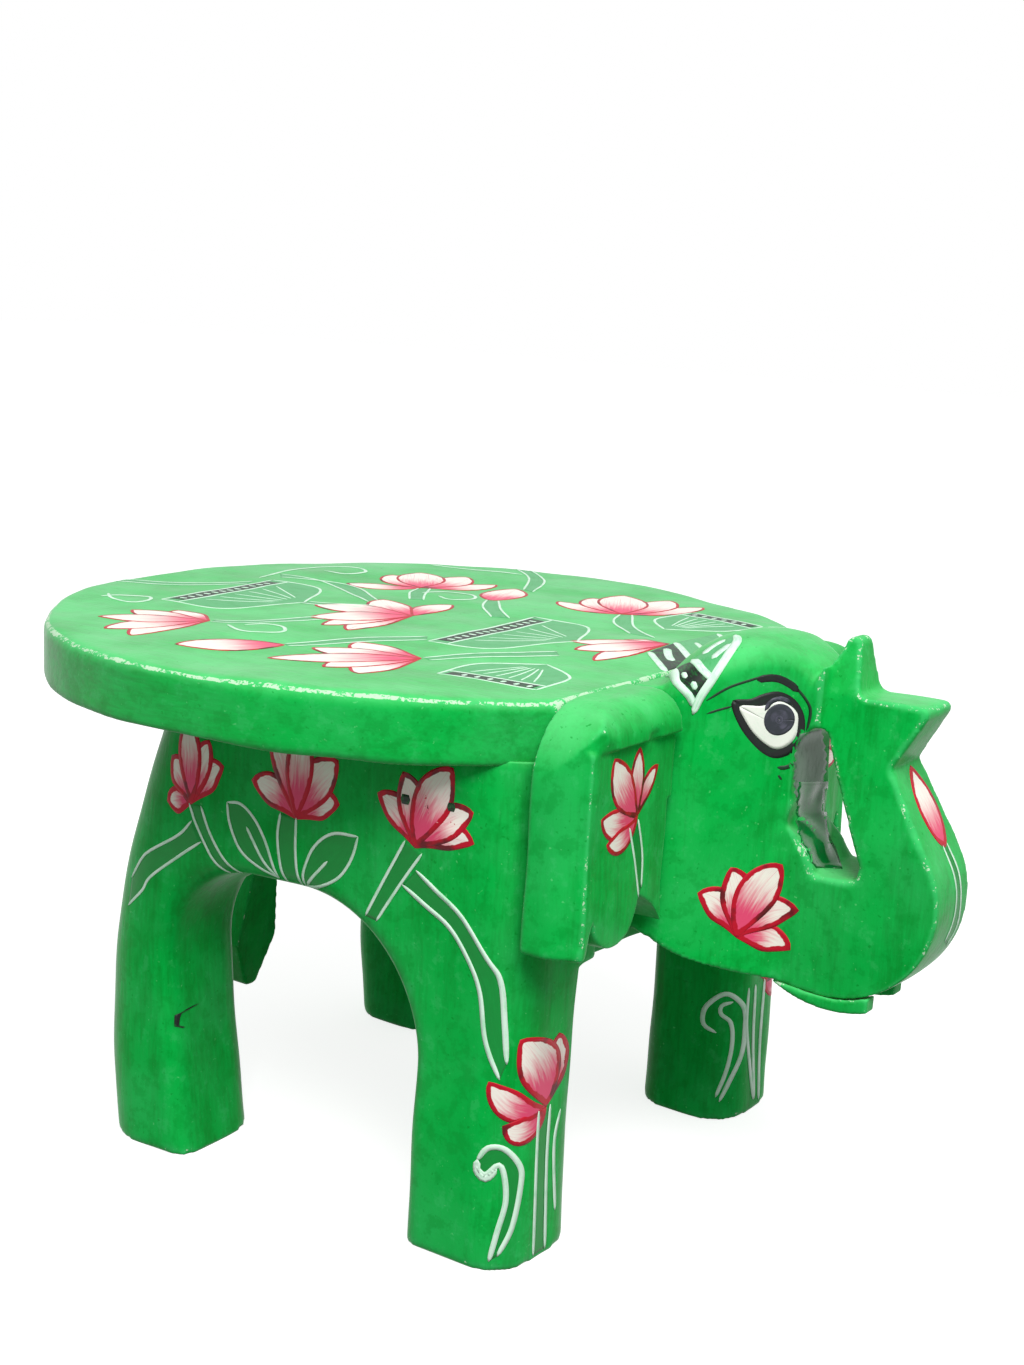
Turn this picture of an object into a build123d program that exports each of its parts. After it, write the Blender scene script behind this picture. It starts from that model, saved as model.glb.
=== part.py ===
from build123d import *
import os

# Carved elephant stool: a solid wood step stool whose body is an elephant.
# X runs from the tail to the trunk, Y to the animal's left, Z up from the floor. Sizes in mm.
# Every X below is measured from one line across the stool, a hand's width behind the
# front legs. At the end all parts move together, so that the origin is the middle of the base.

# ------------------------------------------------------------------ seat board
seat_height = 200.0        # floor to sitting face
seat_thickness = 22.5
seat_half_width = 150.0
seat_widest_x = -35.0
seat_tail_reach = 136.5    # from the widest line to the tail end
seat_chest_inset = 57.5    # how much narrower each side is where the board is cut off square at the chest
seat_top_round = 4.0
seat_under_round = 2.0

# ------------------------------------------------------------------ body planks
# The drops are measured down from the sitting face: a higher seat stands on longer legs.
chest_x = 90.0
seat_overhang = 44.0       # how far the widest line of the seat stands out past the planks
panel_thickness = 48.0
chest_bottom_drop = 96.5
front_leg_length = 44.0
rear_foot_x = -102.0
rear_leg_length = 46.0     # at the foot
rear_leg_lean = 17.0       # how far the inner line leans back on its way up to the arch
rump_swell_x = -112.0      # the back line bows out to this corner, then leans in to the seat
rump_swell_drop = 122.0
rump_top_x = -79.0
rump_line_radius = 220.0
arch_top_drop = 82.5
arch_front_radius = 52.0
arch_rear_radius = 38.0
arch_edge_round = 8.0
front_corner_radius = 17.0
rump_corner_radius = 26.0
leg_inner_round = 16.0

# ------------------------------------------------------------------ head and trunk
# Reaches are measured from the chest forwards, rises and drops from the sitting face.
skull_half_width = 46.0
neck_bottom_drop = 84.0
cheek_wide_reach = 20.0    # from above, the corners between which the cheeks taper to the trunk
cheek_slim_reach = 49.0
cheek_round = 22.0         # at the wide corners
cheek_slim_round = 12.0
shoulder_reach = 10.0      # between the ears the head is level with the seat up to here
trunk_start_reach = 58.0
trunk_half_width = 16.0    # where the trunk leaves the cheeks
curl_half_width = 15.5     # at the front of the curl
lip_half_width = 11.0
finger_half_width = 5.0
trunk_taper_drop = 50.0    # above this line the trunk's sides lean in to the lip and the finger
gouge_round = 3.0          # where that lean starts beside the cheek
crown_rise = 17.5
crown_reach = 31.0
crown_dome_radius = 90.0   # how round the skull is across
crown_round = 8.0
brow_reach = 57.0
brow_rise = 6.5
jaw_reach = 14.0
jaw_drop = 89.0
trunk_curl_radius = 38.0
trunk_curl_reach = 68.5
trunk_curl_drop = 68.5
trunk_bend_drop = 60.0     # the trunk's front bends here, from its lean into the curl
trunk_bend_radius = 28.0
lip_tip_reach = 96.5
lip_rise = 0.5
lip_root_reach = 84.0
lip_root_drop = 21.5
lip_tip_round = 2.5
notch_reach = 69.5         # between finger and lip
notch_round = 3.0
finger_tip_reach = 63.5
finger_rise = 20.0
finger_tip_radius = 3.0
finger_root_rise = 2.0     # the finger's back leaves the brow this much above its foot
loop_front_foot_reach = 77.5     # the loop between face and trunk
loop_front_foot_drop = 57.0
loop_top_reach = 57.5
loop_top_drop = 9.0
loop_face_reach = 49.5
loop_brow_drop = 10.0      # the face line starts this far under the loop's top
loop_bottom_drop = 64.0
mouth_cut = (11.0, 18.0)   # the slope down into the mouth, along X and Z
mouth_rise = 1.0
loop_corner_round = 3.0

# ------------------------------------------------------------------ ears
ear_thickness = 20.0
ear_hood_proud = 2.5
ear_hood_height = 13.0
ear_hood_round = 12.0
ear_shoulder_round = 24.0  # the top outer corner, seen from the front
ear_reach = 1.0            # past the outer face of the plank behind it
ear_gap = 2.5              # beside the skull
ear_length = 82.0          # down from the sitting face
outer_lobe_width = 11.0    # the middle lobe has the rest, and ends in a half round
inner_lobe_width = 18.0
inner_lobe_bow = -2.0      # how full its curve is
ear_edge_round = 17.0
ear_step_drop = 36.0
ear_step_depth = 3.0
ear_groove_radius = 7.0    # a gouge run down into each notch
ear_groove_depth = 4.0
ear_groove_length = 42.0

# ------------------------------------------------------------------ tusks and tail
tusk_thickness = 4.0
tusk_tip_drop = 2.0        # below the lowest point of the trunk
tusk_width = 7.0
tusk_outer_y = 16.0
tusk_back_reach = 48.0
tusk_tip_reach = 85.0
tail_thickness = 9.0
tail_half_width = 7.0
tail_top_drop = 35.0
tail_bend_radius = 60.0    # where it leaves the rump and hangs free
tail_lean = 10.0           # how far the tip hangs behind that place
tail_tuft_half_width = 12.5
tail_tuft_start_drop = 112.0
tail_tuft_drop = 153.0
tail_length = 138.5
tail_tip_half_width = 3.0
tail_tip_round = 2.5

# ------------------------------------------------------------------ dowels, nails and pegs
fit_clearance = 0.1        # between a dowel and its hole, all round
hole_spare = 1.0           # free depth at each blind end
seat_dowel_radius = 5.0
seat_dowel_length = 40.0
seat_dowel_rise = 14.0     # how far the dowel stands up into the seat board
body_dowel_radius = 6.0
body_dowel_length = 60.0
body_dowel_drop = 65.0
body_dowel_inset = 26.0    # behind the chest, and in front of the rump
head_dowel_radius = 6.0
head_dowel_length = 50.0
head_dowel_y = 24.0
head_dowel_drop = 49.0
ear_dowel_radius = 4.0
ear_dowel_length = 28.0
ear_dowel_depth = 12.0     # how far it enters the ear
ear_dowel_inset = 23.0     # from the outer edge of the ear
ear_dowel_drops = (52.0, 27.0)
nail_radius = 1.9
nail_length = 76.0
nail_head_radius = 3.4
nail_head_thickness = 1.6
nail_drop = 17.0           # below the seat board
nail_front_inset = (48.0, 29.0)
nail_rear_inset = (25.0, 44.0)
tusk_peg_radius = 1.5
tusk_peg_length = 12.0
tusk_peg_depth = 3.0       # how far it enters the tusk
tail_peg_radius = 2.5
tail_peg_length = 22.0
tail_peg_depth = 6.0       # how far it enters the tail
tail_peg_drops = (54.0, 41.0)

# ------------------------------------------------------------------ lines that follow
seat_chest_half_width = seat_half_width - seat_chest_inset
body_top_z = seat_height - seat_thickness
body_half_width = seat_half_width - seat_overhang
body_inner_y = body_half_width - panel_thickness
chest_bottom_z = seat_height - chest_bottom_drop
rump_swell_z = seat_height - rump_swell_drop
arch_height = seat_height - arch_top_drop
front_leg_back_x = chest_x - front_leg_length
rear_leg_front_x = rear_foot_x + rear_leg_length
rear_arch_x = rear_leg_front_x - rear_leg_lean
cheek_wide_x = chest_x + cheek_wide_reach
cheek_slim_x = chest_x + cheek_slim_reach
shoulder_x = chest_x + shoulder_reach
trunk_start_x = chest_x + trunk_start_reach
crown_x = chest_x + crown_reach
brow_x = chest_x + brow_reach
jaw_x = chest_x + jaw_reach
trunk_curl_x = chest_x + trunk_curl_reach
lip_tip_x = chest_x + lip_tip_reach
lip_root_x = chest_x + lip_root_reach
notch_x = chest_x + notch_reach
finger_tip_x = chest_x + finger_tip_reach
loop_front_foot_x = chest_x + loop_front_foot_reach
loop_top_x = chest_x + loop_top_reach
loop_face_x = chest_x + loop_face_reach
tusk_back_x = chest_x + tusk_back_reach
tusk_tip_x = chest_x + tusk_tip_reach
crown_z = seat_height + crown_rise
brow_z = seat_height + brow_rise
neck_bottom_z = seat_height - neck_bottom_drop
jaw_z = seat_height - jaw_drop
trunk_taper_z = seat_height - trunk_taper_drop
trunk_curl_z = seat_height - trunk_curl_drop
trunk_bend_z = seat_height - trunk_bend_drop
trunk_bottom_z = trunk_curl_z - trunk_curl_radius
trunk_front_x = trunk_curl_x + trunk_curl_radius
lip_top_z = seat_height + lip_rise
lip_root_z = seat_height - lip_root_drop
finger_tip_z = seat_height + finger_rise
loop_front_foot_z = seat_height - loop_front_foot_drop
loop_top_z = seat_height - loop_top_drop
loop_bottom_z = seat_height - loop_bottom_drop
ear_outer_y = body_half_width + ear_reach
ear_inner_y = skull_half_width + ear_gap
ear_bottom_z = seat_height - ear_length
ear_notch_lines = (ear_outer_y - outer_lobe_width, ear_inner_y + inner_lobe_width)
ear_notch_depth = (ear_notch_lines[0] - ear_notch_lines[1]) / 2
ear_notch_z = ear_bottom_z + ear_notch_depth
nail_z = body_top_z - nail_drop
nail_front_x = tuple(chest_x - inset for inset in nail_front_inset)
nail_rear_x = tuple(rump_top_x + inset for inset in nail_rear_inset)
stool_middle_x = (seat_widest_x - seat_tail_reach + max(trunk_front_x, lip_tip_x)) / 2
through = 400.0            # longer than any cut needs to be

os.makedirs("parts", exist_ok=True)


def side_on(outline, half_width):
    """A side view in X and Z, sawn right through the plank."""
    return extrude(Plane.XZ * outline, amount=half_width, both=True)


def plan_on(outline, top, bottom=0.0):
    """A plan in X and Y, standing from bottom to top."""
    return Pos(0, 0, bottom) * extrude(outline, amount=top - bottom)


def front_on(outline, start_x, end_x):
    """A front view in Y and Z, running along X."""
    return Pos(start_x, 0, 0) * extrude(Plane.YZ * outline, amount=end_x - start_x)


def across(radius, start, end):
    """A round bar from one point to another."""
    span = Vector(*end) - Vector(*start)
    return Plane(origin=start, z_dir=span) * Cylinder(
        radius, span.length, align=(Align.CENTER, Align.CENTER, Align.MIN)
    )


def to_right(part):
    """The same piece on the animal's right."""
    return mirror(part, about=Plane.XZ)


# ------------------------------------------------------------------ seat board
def seat_outline():
    """An oval of arcs: two that meet smoothly round each side of the tail end, and one on to the chest."""
    tail_end = (seat_widest_x - seat_tail_reach, 0)
    widest = (seat_widest_x, seat_half_width)
    chest_corner = (chest_x, seat_chest_half_width)
    corner_inset = (seat_tail_reach + seat_half_width - Vector(seat_tail_reach, seat_half_width).length) / 2
    meeting = (seat_widest_x - seat_tail_reach + corner_inset, seat_half_width - corner_inset)
    tail_arc = TangentArc(tail_end, meeting, tangent=(0, 1))
    side_arc = TangentArc(meeting, widest, tangent=tail_arc % 1)
    head_arc = TangentArc(widest, chest_corner, tangent=(1, 0))
    closing = Polyline(chest_corner, (chest_x, 0), tail_end)
    half = make_face(Curve() + [tail_arc, side_arc, head_arc, closing])
    return half + mirror(half, about=Plane.XZ)


def seat_blank():
    board = plan_on(seat_outline(), seat_height, body_top_z)
    top_edge = board.faces().sort_by(Axis.Z)[-1].edges().sort_by(Axis.X)[:-1]
    board = fillet(top_edge, seat_top_round)
    under_edge = board.faces().sort_by(Axis.Z)[0].edges().sort_by(Axis.X)[:-1]
    return fillet(under_edge, seat_under_round)


# ------------------------------------------------------------------ body planks
def body_side_view():
    """Both legs, the belly arch and the rump, as the saw cuts them."""
    points = (
        (rump_top_x, body_top_z),
        (chest_x, body_top_z),
        (chest_x, 0),
        (front_leg_back_x, 0),
        (front_leg_back_x, arch_height),
        (rear_arch_x, arch_height),
        (rear_leg_front_x, 0),
        (rear_foot_x, 0),
        (rump_swell_x, rump_swell_z),
    )
    rounds = (0, 0, 0, 0, arch_front_radius, arch_rear_radius, 0, 0, rump_line_radius)
    return make_face(FilletPolyline(*points, radius=rounds, close=True))


def outer_edges(panel, chosen):
    """The edges of the panel's outer face that lie where a test of their middle says."""
    outer_face = panel.faces().sort_by(Axis.Y)[-1]
    return [edge for edge in outer_face.edges() if chosen(edge.center())]


def in_arch(place):
    return rear_arch_x - 1 < place.X < front_leg_back_x + 1 and place.Z < arch_height + 1


def at_chest(place):
    return place.X > chest_x - 1


def at_rump(place):
    return place.X < rump_top_x and place.Z > arch_edge_round


def panel_blank():
    """The left side of the body, with its front and rear legs, from one plank."""
    panel = Pos(0, body_half_width, 0) * extrude(Plane.XZ * body_side_view(), amount=panel_thickness)
    panel = fillet(outer_edges(panel, in_arch), arch_edge_round)
    panel = fillet(outer_edges(panel, at_chest), front_corner_radius)
    panel = fillet(outer_edges(panel, at_rump), rump_corner_radius)
    middle_y = body_inner_y + panel_thickness / 2
    below_chest = Pos(0, middle_y, chest_bottom_z / 2) * Box(through, panel_thickness, chest_bottom_z)
    rounded = panel - below_chest
    for leg in (panel & below_chest).solids():
        inner_face = leg.faces().filter_by(Axis.Y).sort_by(Axis.Y)[0]
        corners = [edge for edge in inner_face.edges() if 1 < edge.center().Z < chest_bottom_z - 1]
        rounded += leg.fillet(leg_inner_round, corners)
    return rounded


def belly_blank():
    """The middle plank, which carries the arch on between the panels."""
    above_chest = Pos(0, (body_top_z + chest_bottom_z) / 2) * Rectangle(
        through, body_top_z - chest_bottom_z
    )
    return side_on(body_side_view() & above_chest, body_inner_y)


# ------------------------------------------------------------------ head and trunk
def head_plan():
    """From above: a thick skull that tapers through the cheeks to a slim trunk."""
    left = (
        (chest_x, skull_half_width),
        (cheek_wide_x, skull_half_width),
        (cheek_slim_x, trunk_half_width),
        (trunk_front_x, curl_half_width),
    )
    right = [(x, -y) for x, y in reversed(left)]
    rounds = (0, cheek_round, cheek_slim_round, 0)
    return make_face(FilletPolyline(*left, *right, radius=rounds + rounds[::-1], close=True))


def keel():
    """The line of the jaw, from the lowest point of the trunk back to the throat."""
    return TangentArc((trunk_curl_x, trunk_bottom_z), (jaw_x, jaw_z), tangent=(-1, 0))


def crown_line():
    """Up from the seat to the crown, and down to the brow, as two arcs that meet level at the top."""
    to_seat = TangentArc((crown_x, crown_z), (chest_x, seat_height), tangent=(-1, 0))
    to_brow = TangentArc((crown_x, crown_z), (brow_x, brow_z), tangent=(1, 0))
    return [to_seat, to_brow]


def skull_side_view():
    face = Line((brow_x, brow_z), (trunk_curl_x, trunk_bottom_z))
    throat = Polyline((jaw_x, jaw_z), (chest_x, neck_bottom_z), (chest_x, seat_height))
    return make_face(Curve() + crown_line() + [face, keel(), throat])


def crown_dome():
    """The crown line turned about a level axis under it, so that the skull is round across as well."""
    axis_z = crown_z - crown_dome_radius
    to_seat, to_brow = crown_line()
    past_brow = to_brow @ 1 + (to_brow % 1) * (trunk_front_x - brow_x)
    below = Polyline(to_brow @ 1, past_brow, (past_brow.X, axis_z), (chest_x, axis_z), to_seat @ 1)
    profile = Plane.XZ * make_face(Curve() + [to_seat, to_brow, below])
    return revolve(profile, axis=Axis((chest_x, 0, axis_z), (1, 0, 0)))


def trunk_side_view():
    """Finger, lip, the front of the raised trunk and its curl under the mouth."""
    finger_shoulder_z = finger_tip_z - finger_tip_radius
    finger_back = (finger_tip_x - finger_tip_radius, finger_shoulder_z)
    finger_front = (finger_tip_x + finger_tip_radius, finger_shoulder_z)
    lip_tip = (lip_tip_x, lip_top_z)
    lip_root = (lip_root_x, lip_root_z)
    trunk_bend = (trunk_front_x, trunk_bend_z)
    curl_front = (trunk_front_x, trunk_curl_z)
    curl_bottom = (trunk_curl_x, trunk_bottom_z)
    in_skull = (loop_face_x, loop_top_z)
    lip_rounds = (notch_round, lip_tip_round)
    outline = [
        Polyline(in_skull, (brow_x, brow_z + finger_root_rise), finger_back),
        ThreePointArc(finger_back, (finger_tip_x, finger_tip_z), finger_front),
        FilletPolyline(finger_front, (notch_x, lip_top_z), lip_tip, lip_root, radius=lip_rounds),
        FilletPolyline(lip_root, trunk_bend, curl_front, radius=trunk_bend_radius),
        RadiusArc(curl_front, curl_bottom, trunk_curl_radius),
        Line(curl_bottom, in_skull),
    ]
    return make_face(Curve() + outline)


def loop_side_view():
    """The opening between the face and the raised trunk, with the mouth at its foot."""
    points = (
        (loop_front_foot_x, loop_front_foot_z),
        (loop_top_x, loop_top_z),
        (loop_face_x, loop_top_z - loop_brow_drop),
        (loop_face_x, loop_bottom_z + mouth_cut[1]),
        (loop_face_x + mouth_cut[0], loop_bottom_z),
        (loop_front_foot_x - mouth_rise, loop_bottom_z + mouth_rise),
    )
    return make_face(FilletPolyline(*points, radius=loop_corner_round, close=True))


def trunk_shaving():
    """What comes off beside the trunk's left, so that it slims up to the lip and the finger."""
    outline = Polyline(
        (trunk_half_width, trunk_taper_z),
        (lip_half_width, lip_top_z),
        (finger_half_width, finger_tip_z),
        (skull_half_width, finger_tip_z),
        (skull_half_width, trunk_taper_z),
        close=True,
    )
    shaving = front_on(make_face(outline), trunk_start_x, trunk_front_x)
    start_edges = shaving.edges().filter_by_position(Axis.X, trunk_start_x, trunk_start_x).sort_by(Axis.Y)[:2]
    return fillet(start_edges, gouge_round)


def skull_blank():
    """The domed skull, its upper edges rounded, with the level shoulder between the ears behind it."""
    plan = plan_on(head_plan(), crown_z + 1)
    domed = plan & crown_dome()
    crown_edges = [
        edge
        for edge in domed.edges()
        if edge.center().Z > body_top_z
        and edge.bounding_box().max.Z < crown_z - 1
        and edge.center().X < trunk_start_x
    ]
    domed = fillet(crown_edges, crown_round)
    shoulder = Pos((chest_x + shoulder_x) / 2, 0) * Rectangle(shoulder_x - chest_x, 2 * skull_half_width)
    domed += plan_on(shoulder, seat_height)
    return domed & side_on(skull_side_view(), skull_half_width)


def head_blank():
    """Skull and trunk sawn from one block in side view and in plan, with the loop cut through."""
    trunk = side_on(trunk_side_view(), skull_half_width) & plan_on(head_plan(), finger_tip_z + 1)
    head = skull_blank() + trunk - side_on(loop_side_view(), skull_half_width)
    return head - trunk_shaving() - to_right(trunk_shaving())


# ------------------------------------------------------------------ ears
def ear_front_view():
    """A hanging ear that ends in three carved lobes, with its stepped inner edge by the cheek."""
    outer = ear_outer_y
    first, second = ear_notch_lines
    step = ear_step_depth
    step_z = seat_height - ear_step_drop
    hood_z = seat_height - ear_hood_height
    outline = [
        FilletPolyline(
            (ear_inner_y, seat_height), (outer, seat_height), (outer, ear_bottom_z), radius=ear_shoulder_round
        ),
        Line((outer, ear_bottom_z), ((outer + 2 * first) / 3, ear_bottom_z)),
        Line(((outer + 2 * first) / 3, ear_bottom_z), (first, ear_notch_z)),
        ThreePointArc((first, ear_notch_z), ((first + second) / 2, ear_bottom_z), (second, ear_notch_z)),
        SagittaArc((second, ear_notch_z), (ear_inner_y, ear_bottom_z), inner_lobe_bow),
        Polyline(
            (ear_inner_y, ear_bottom_z),
            (ear_inner_y + step, ear_notch_z),
            (ear_inner_y + step, step_z),
            (ear_inner_y, step_z),
            (ear_inner_y, hood_z - step),
            (ear_inner_y + step, hood_z),
            (ear_inner_y, hood_z),
            (ear_inner_y, seat_height),
        ),
    ]
    return make_face(Curve() + outline)


def ear_side_view():
    """A flat blade with a rolled hood along its top."""
    front_x = chest_x + ear_thickness
    hood_z = seat_height - ear_hood_height
    points = (
        (chest_x, seat_height),
        (front_x + ear_hood_proud, seat_height),
        (front_x + ear_hood_proud, hood_z),
        (front_x, hood_z),
        (front_x, 0),
        (chest_x, 0),
    )
    rounds = (0, ear_hood_round, 0, 0, 0, 0)
    return make_face(FilletPolyline(*points, radius=rounds, close=True))


def ear_plan():
    front_x = chest_x + ear_thickness + ear_hood_proud
    points = (
        (chest_x, ear_inner_y),
        (chest_x, ear_outer_y),
        (front_x, ear_outer_y),
        (front_x, ear_inner_y),
    )
    rounds = (0, 0, ear_edge_round, 0)
    return make_face(FilletPolyline(*points, radius=rounds, close=True))


def ear_blank():
    """The left ear, sawn to its front view, its side view and its plan."""
    front_x = chest_x + ear_thickness
    ear = front_on(ear_front_view(), chest_x, front_x + ear_hood_proud)
    ear &= side_on(ear_side_view(), seat_half_width)
    ear &= plan_on(ear_plan(), seat_height)
    for notch_y in ear_notch_lines:
        foot_x = front_x + ear_groove_radius - ear_groove_depth
        fade_x = front_x + ear_groove_radius
        fade_z = ear_notch_z + ear_groove_length
        slope = (fade_x - foot_x) / (fade_z - ear_bottom_z)
        below_x = foot_x - slope * ear_notch_depth
        start = (below_x, notch_y, ear_bottom_z - ear_notch_depth)
        end = (fade_x + slope * ear_notch_depth, notch_y, fade_z + ear_notch_depth)
        ear -= across(ear_groove_radius, start, end)
    return ear


# ------------------------------------------------------------------ tusks and tail
def tusk_blank(head):
    """The left tusk: a short bowed strip fitted to the underside of the jaw."""
    low_z = trunk_bottom_z - tusk_thickness
    high_z = trunk_bottom_z + tusk_thickness
    back = (tusk_back_x, trunk_bottom_z + tusk_tip_drop)
    tip = (tusk_tip_x, trunk_bottom_z - tusk_tip_drop)
    bow = ThreePointArc(back, ((tusk_back_x + tusk_tip_x) / 2, low_z), tip)
    rest = Polyline(tip, (tusk_tip_x, high_z), (tusk_back_x, high_z), back)
    strip = extrude(Plane.XZ * make_face(Curve() + [bow, rest]), amount=tusk_width)
    return Pos(0, tusk_outer_y, 0) * strip - head


def tail_blank(belly):
    """A flat strip that lies on the rump, hangs free below it, and ends in a pointed tuft."""
    top_x = rump_line_x(seat_height - tail_top_drop)
    hang_x = rump_line_x(chest_bottom_z)
    tip_z = seat_height - tail_top_drop - tail_length
    side = (
        (top_x - tail_thickness, seat_height - tail_top_drop),
        (hang_x - tail_thickness, chest_bottom_z),
        (hang_x - tail_lean - tail_thickness, tip_z),
        (hang_x - tail_lean, tip_z),
        (hang_x, chest_bottom_z),
        (hang_x + tail_thickness, chest_bottom_z),
        (top_x + tail_thickness, seat_height - tail_top_drop),
    )
    bend = (0, tail_bend_radius, 0, 0, 0, 0, 0)
    strip = side_on(make_face(FilletPolyline(*side, radius=bend, close=True)), tail_tuft_half_width)
    right_edge = (
        (tail_half_width, seat_height - tail_top_drop),
        (tail_half_width, seat_height - tail_tuft_start_drop),
        (tail_tuft_half_width, seat_height - tail_tuft_drop),
        (tail_tip_half_width, tip_z),
    )
    left_edge = [(-y, z) for y, z in reversed(right_edge)]
    rounds = (0, tail_bend_radius, tail_tip_round, tail_tip_round)
    front = make_face(FilletPolyline(*right_edge, *left_edge, radius=rounds + rounds[::-1], close=True))
    return (strip & front_on(front, -through, chest_x)) - belly


def rump_line_x(z):
    """Where the straight upper part of the rump line stands at a height."""
    share = (body_top_z - z) / (body_top_z - rump_swell_z)
    return rump_top_x + share * (rump_swell_x - rump_top_x)


# ------------------------------------------------------------------ dowels, nails and pegs
def on_both_sides(bars):
    """A list of (radius, start, end) bars, with their mirror images."""
    flip = [(radius, (x1, -y1, z1), (x2, -y2, z2)) for radius, (x1, y1, z1), (x2, y2, z2) in bars]
    return bars + flip


def seat_dowel_bars():
    """Upright, through the joint between panel and seat board, midway between the nails."""
    y = body_half_width - panel_thickness / 2
    top = body_top_z + seat_dowel_rise
    places = [sum(pair) / 2 for pair in (nail_front_x, nail_rear_x)]
    return [(seat_dowel_radius, (x, y, top - seat_dowel_length), (x, y, top)) for x in places]


def body_dowel_bars():
    """Level, across the joint between belly block and panel."""
    inner = body_inner_y - body_dowel_length / 2
    outer = body_inner_y + body_dowel_length / 2
    z = seat_height - body_dowel_drop
    places = (chest_x - body_dowel_inset, rump_line_x(z) + body_dowel_inset)
    return [(body_dowel_radius, (x, inner, z), (x, outer, z)) for x in places]


def head_dowel_bars():
    """From the chest into the skull."""
    z = seat_height - head_dowel_drop
    start = (chest_x - head_dowel_length / 2, head_dowel_y, z)
    end = (chest_x + head_dowel_length / 2, head_dowel_y, z)
    return [(head_dowel_radius, start, end)]


def ear_dowel_bars():
    """From the front of the panel into the back of the ear."""
    y = ear_outer_y - ear_dowel_inset
    end_x = chest_x + ear_dowel_depth
    start_x = end_x - ear_dowel_length
    heights = [seat_height - drop for drop in ear_dowel_drops]
    return [(ear_dowel_radius, (start_x, y, z), (end_x, y, z)) for z in heights]


def nail_bars():
    """Driven through the panel into the belly block; the start is the head's outer face."""
    return [
        (nail_radius, (x, body_half_width, nail_z), (x, body_half_width - nail_length, nail_z))
        for x in nail_front_x + nail_rear_x
    ]


def tusk_peg_bars():
    x = (tusk_back_x + tusk_tip_x) / 2
    y = tusk_outer_y - tusk_width / 2
    low_z = trunk_bottom_z - tusk_peg_depth
    return [(tusk_peg_radius, (x, y, low_z), (x, y, low_z + tusk_peg_length))]


def tail_peg_bars():
    return [
        (
            tail_peg_radius,
            (rump_line_x(z) - tail_peg_depth, 0, z),
            (rump_line_x(z) - tail_peg_depth + tail_peg_length, 0, z),
        )
        for z in (seat_height - drop for drop in tail_peg_drops)
    ]


def blind_hole(radius, start, end):
    """A dowel's hole: a little wider, and a little deeper at both ends."""
    spare = (Vector(*end) - Vector(*start)).normalized() * hole_spare
    return across(radius + fit_clearance, Vector(*start) - spare, Vector(*end) + spare)


def nail(radius, start, end):
    inwards = (Vector(*end) - Vector(*start)).normalized()
    head = across(nail_head_radius, start, Vector(*start) + inwards * nail_head_thickness)
    return across(radius, start, end) + head


def nail_hole(radius, start, end):
    inwards = (Vector(*end) - Vector(*start)).normalized()
    sink = across(
        nail_head_radius + fit_clearance,
        Vector(*start) - inwards * hole_spare,
        Vector(*start) + inwards * (nail_head_thickness + fit_clearance),
    )
    return across(radius + fit_clearance, start, Vector(*end) + inwards * hole_spare) + sink


# ------------------------------------------------------------------ assembly
dowels = {
    "seat_dowels": on_both_sides(seat_dowel_bars()),
    "body_dowels": on_both_sides(body_dowel_bars()),
    "head_dowels": on_both_sides(head_dowel_bars()),
    "ear_dowels": on_both_sides(ear_dowel_bars()),
    "tusk_pegs": on_both_sides(tusk_peg_bars()),
    "tail_pegs": tail_peg_bars(),
}
nails = {
    "side_nails_left": nail_bars(),
    "side_nails_right": on_both_sides(nail_bars())[len(nail_bars()):],
}

panel = panel_blank()
head = head_blank()
ear = ear_blank()
tusk = tusk_blank(head)
belly = belly_blank()
wood = {
    "seat_board": seat_blank(),
    "side_panel_left": panel,
    "side_panel_right": to_right(panel),
    "belly_block": belly,
    "head_trunk": head,
    "ear_left": ear,
    "ear_right": to_right(ear),
    "tusk_left": tusk,
    "tusk_right": to_right(tusk),
    "tail": tail_blank(belly),
}

holes = [blind_hole(*bar) for bars in dowels.values() for bar in bars]
holes += [nail_hole(*bar) for bars in nails.values() for bar in bars]
to_origin = Pos(-stool_middle_x, 0, 0)
parts = {name: to_origin * (piece - holes) for name, piece in wood.items()}
for name, bars in dowels.items():
    parts[name] = Compound(children=[to_origin * across(*bar) for bar in bars])
for name, bars in nails.items():
    parts[name] = Compound(children=[to_origin * nail(*bar) for bar in bars])

for name, part in parts.items():
    part.label = name
    export_step(part, f"parts/{name}.step")
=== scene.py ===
import bmesh
import bpy
import numpy as np
from mathutils import Matrix, Vector


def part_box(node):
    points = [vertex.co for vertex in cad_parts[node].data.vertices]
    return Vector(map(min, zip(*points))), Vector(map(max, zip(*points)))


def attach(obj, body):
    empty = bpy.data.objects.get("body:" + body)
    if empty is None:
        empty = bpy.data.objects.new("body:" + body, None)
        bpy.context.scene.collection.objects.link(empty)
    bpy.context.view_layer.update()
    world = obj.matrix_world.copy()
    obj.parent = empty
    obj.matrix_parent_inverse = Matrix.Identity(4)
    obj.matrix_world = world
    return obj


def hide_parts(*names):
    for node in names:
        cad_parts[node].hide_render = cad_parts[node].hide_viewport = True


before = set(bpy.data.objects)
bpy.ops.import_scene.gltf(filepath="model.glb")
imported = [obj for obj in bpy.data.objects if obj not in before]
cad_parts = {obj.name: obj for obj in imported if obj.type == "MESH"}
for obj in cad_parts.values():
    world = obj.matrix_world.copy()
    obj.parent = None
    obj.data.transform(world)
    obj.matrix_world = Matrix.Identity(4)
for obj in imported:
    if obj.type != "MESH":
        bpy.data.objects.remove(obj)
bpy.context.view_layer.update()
mm = 0.001

# ---------------- seat board
# One thick oval board of light hardwood, band-sawn, its edges rasped round by hand. Like every
# other piece it is brushed with two coats of bright green enamel over a pale primer.

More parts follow.
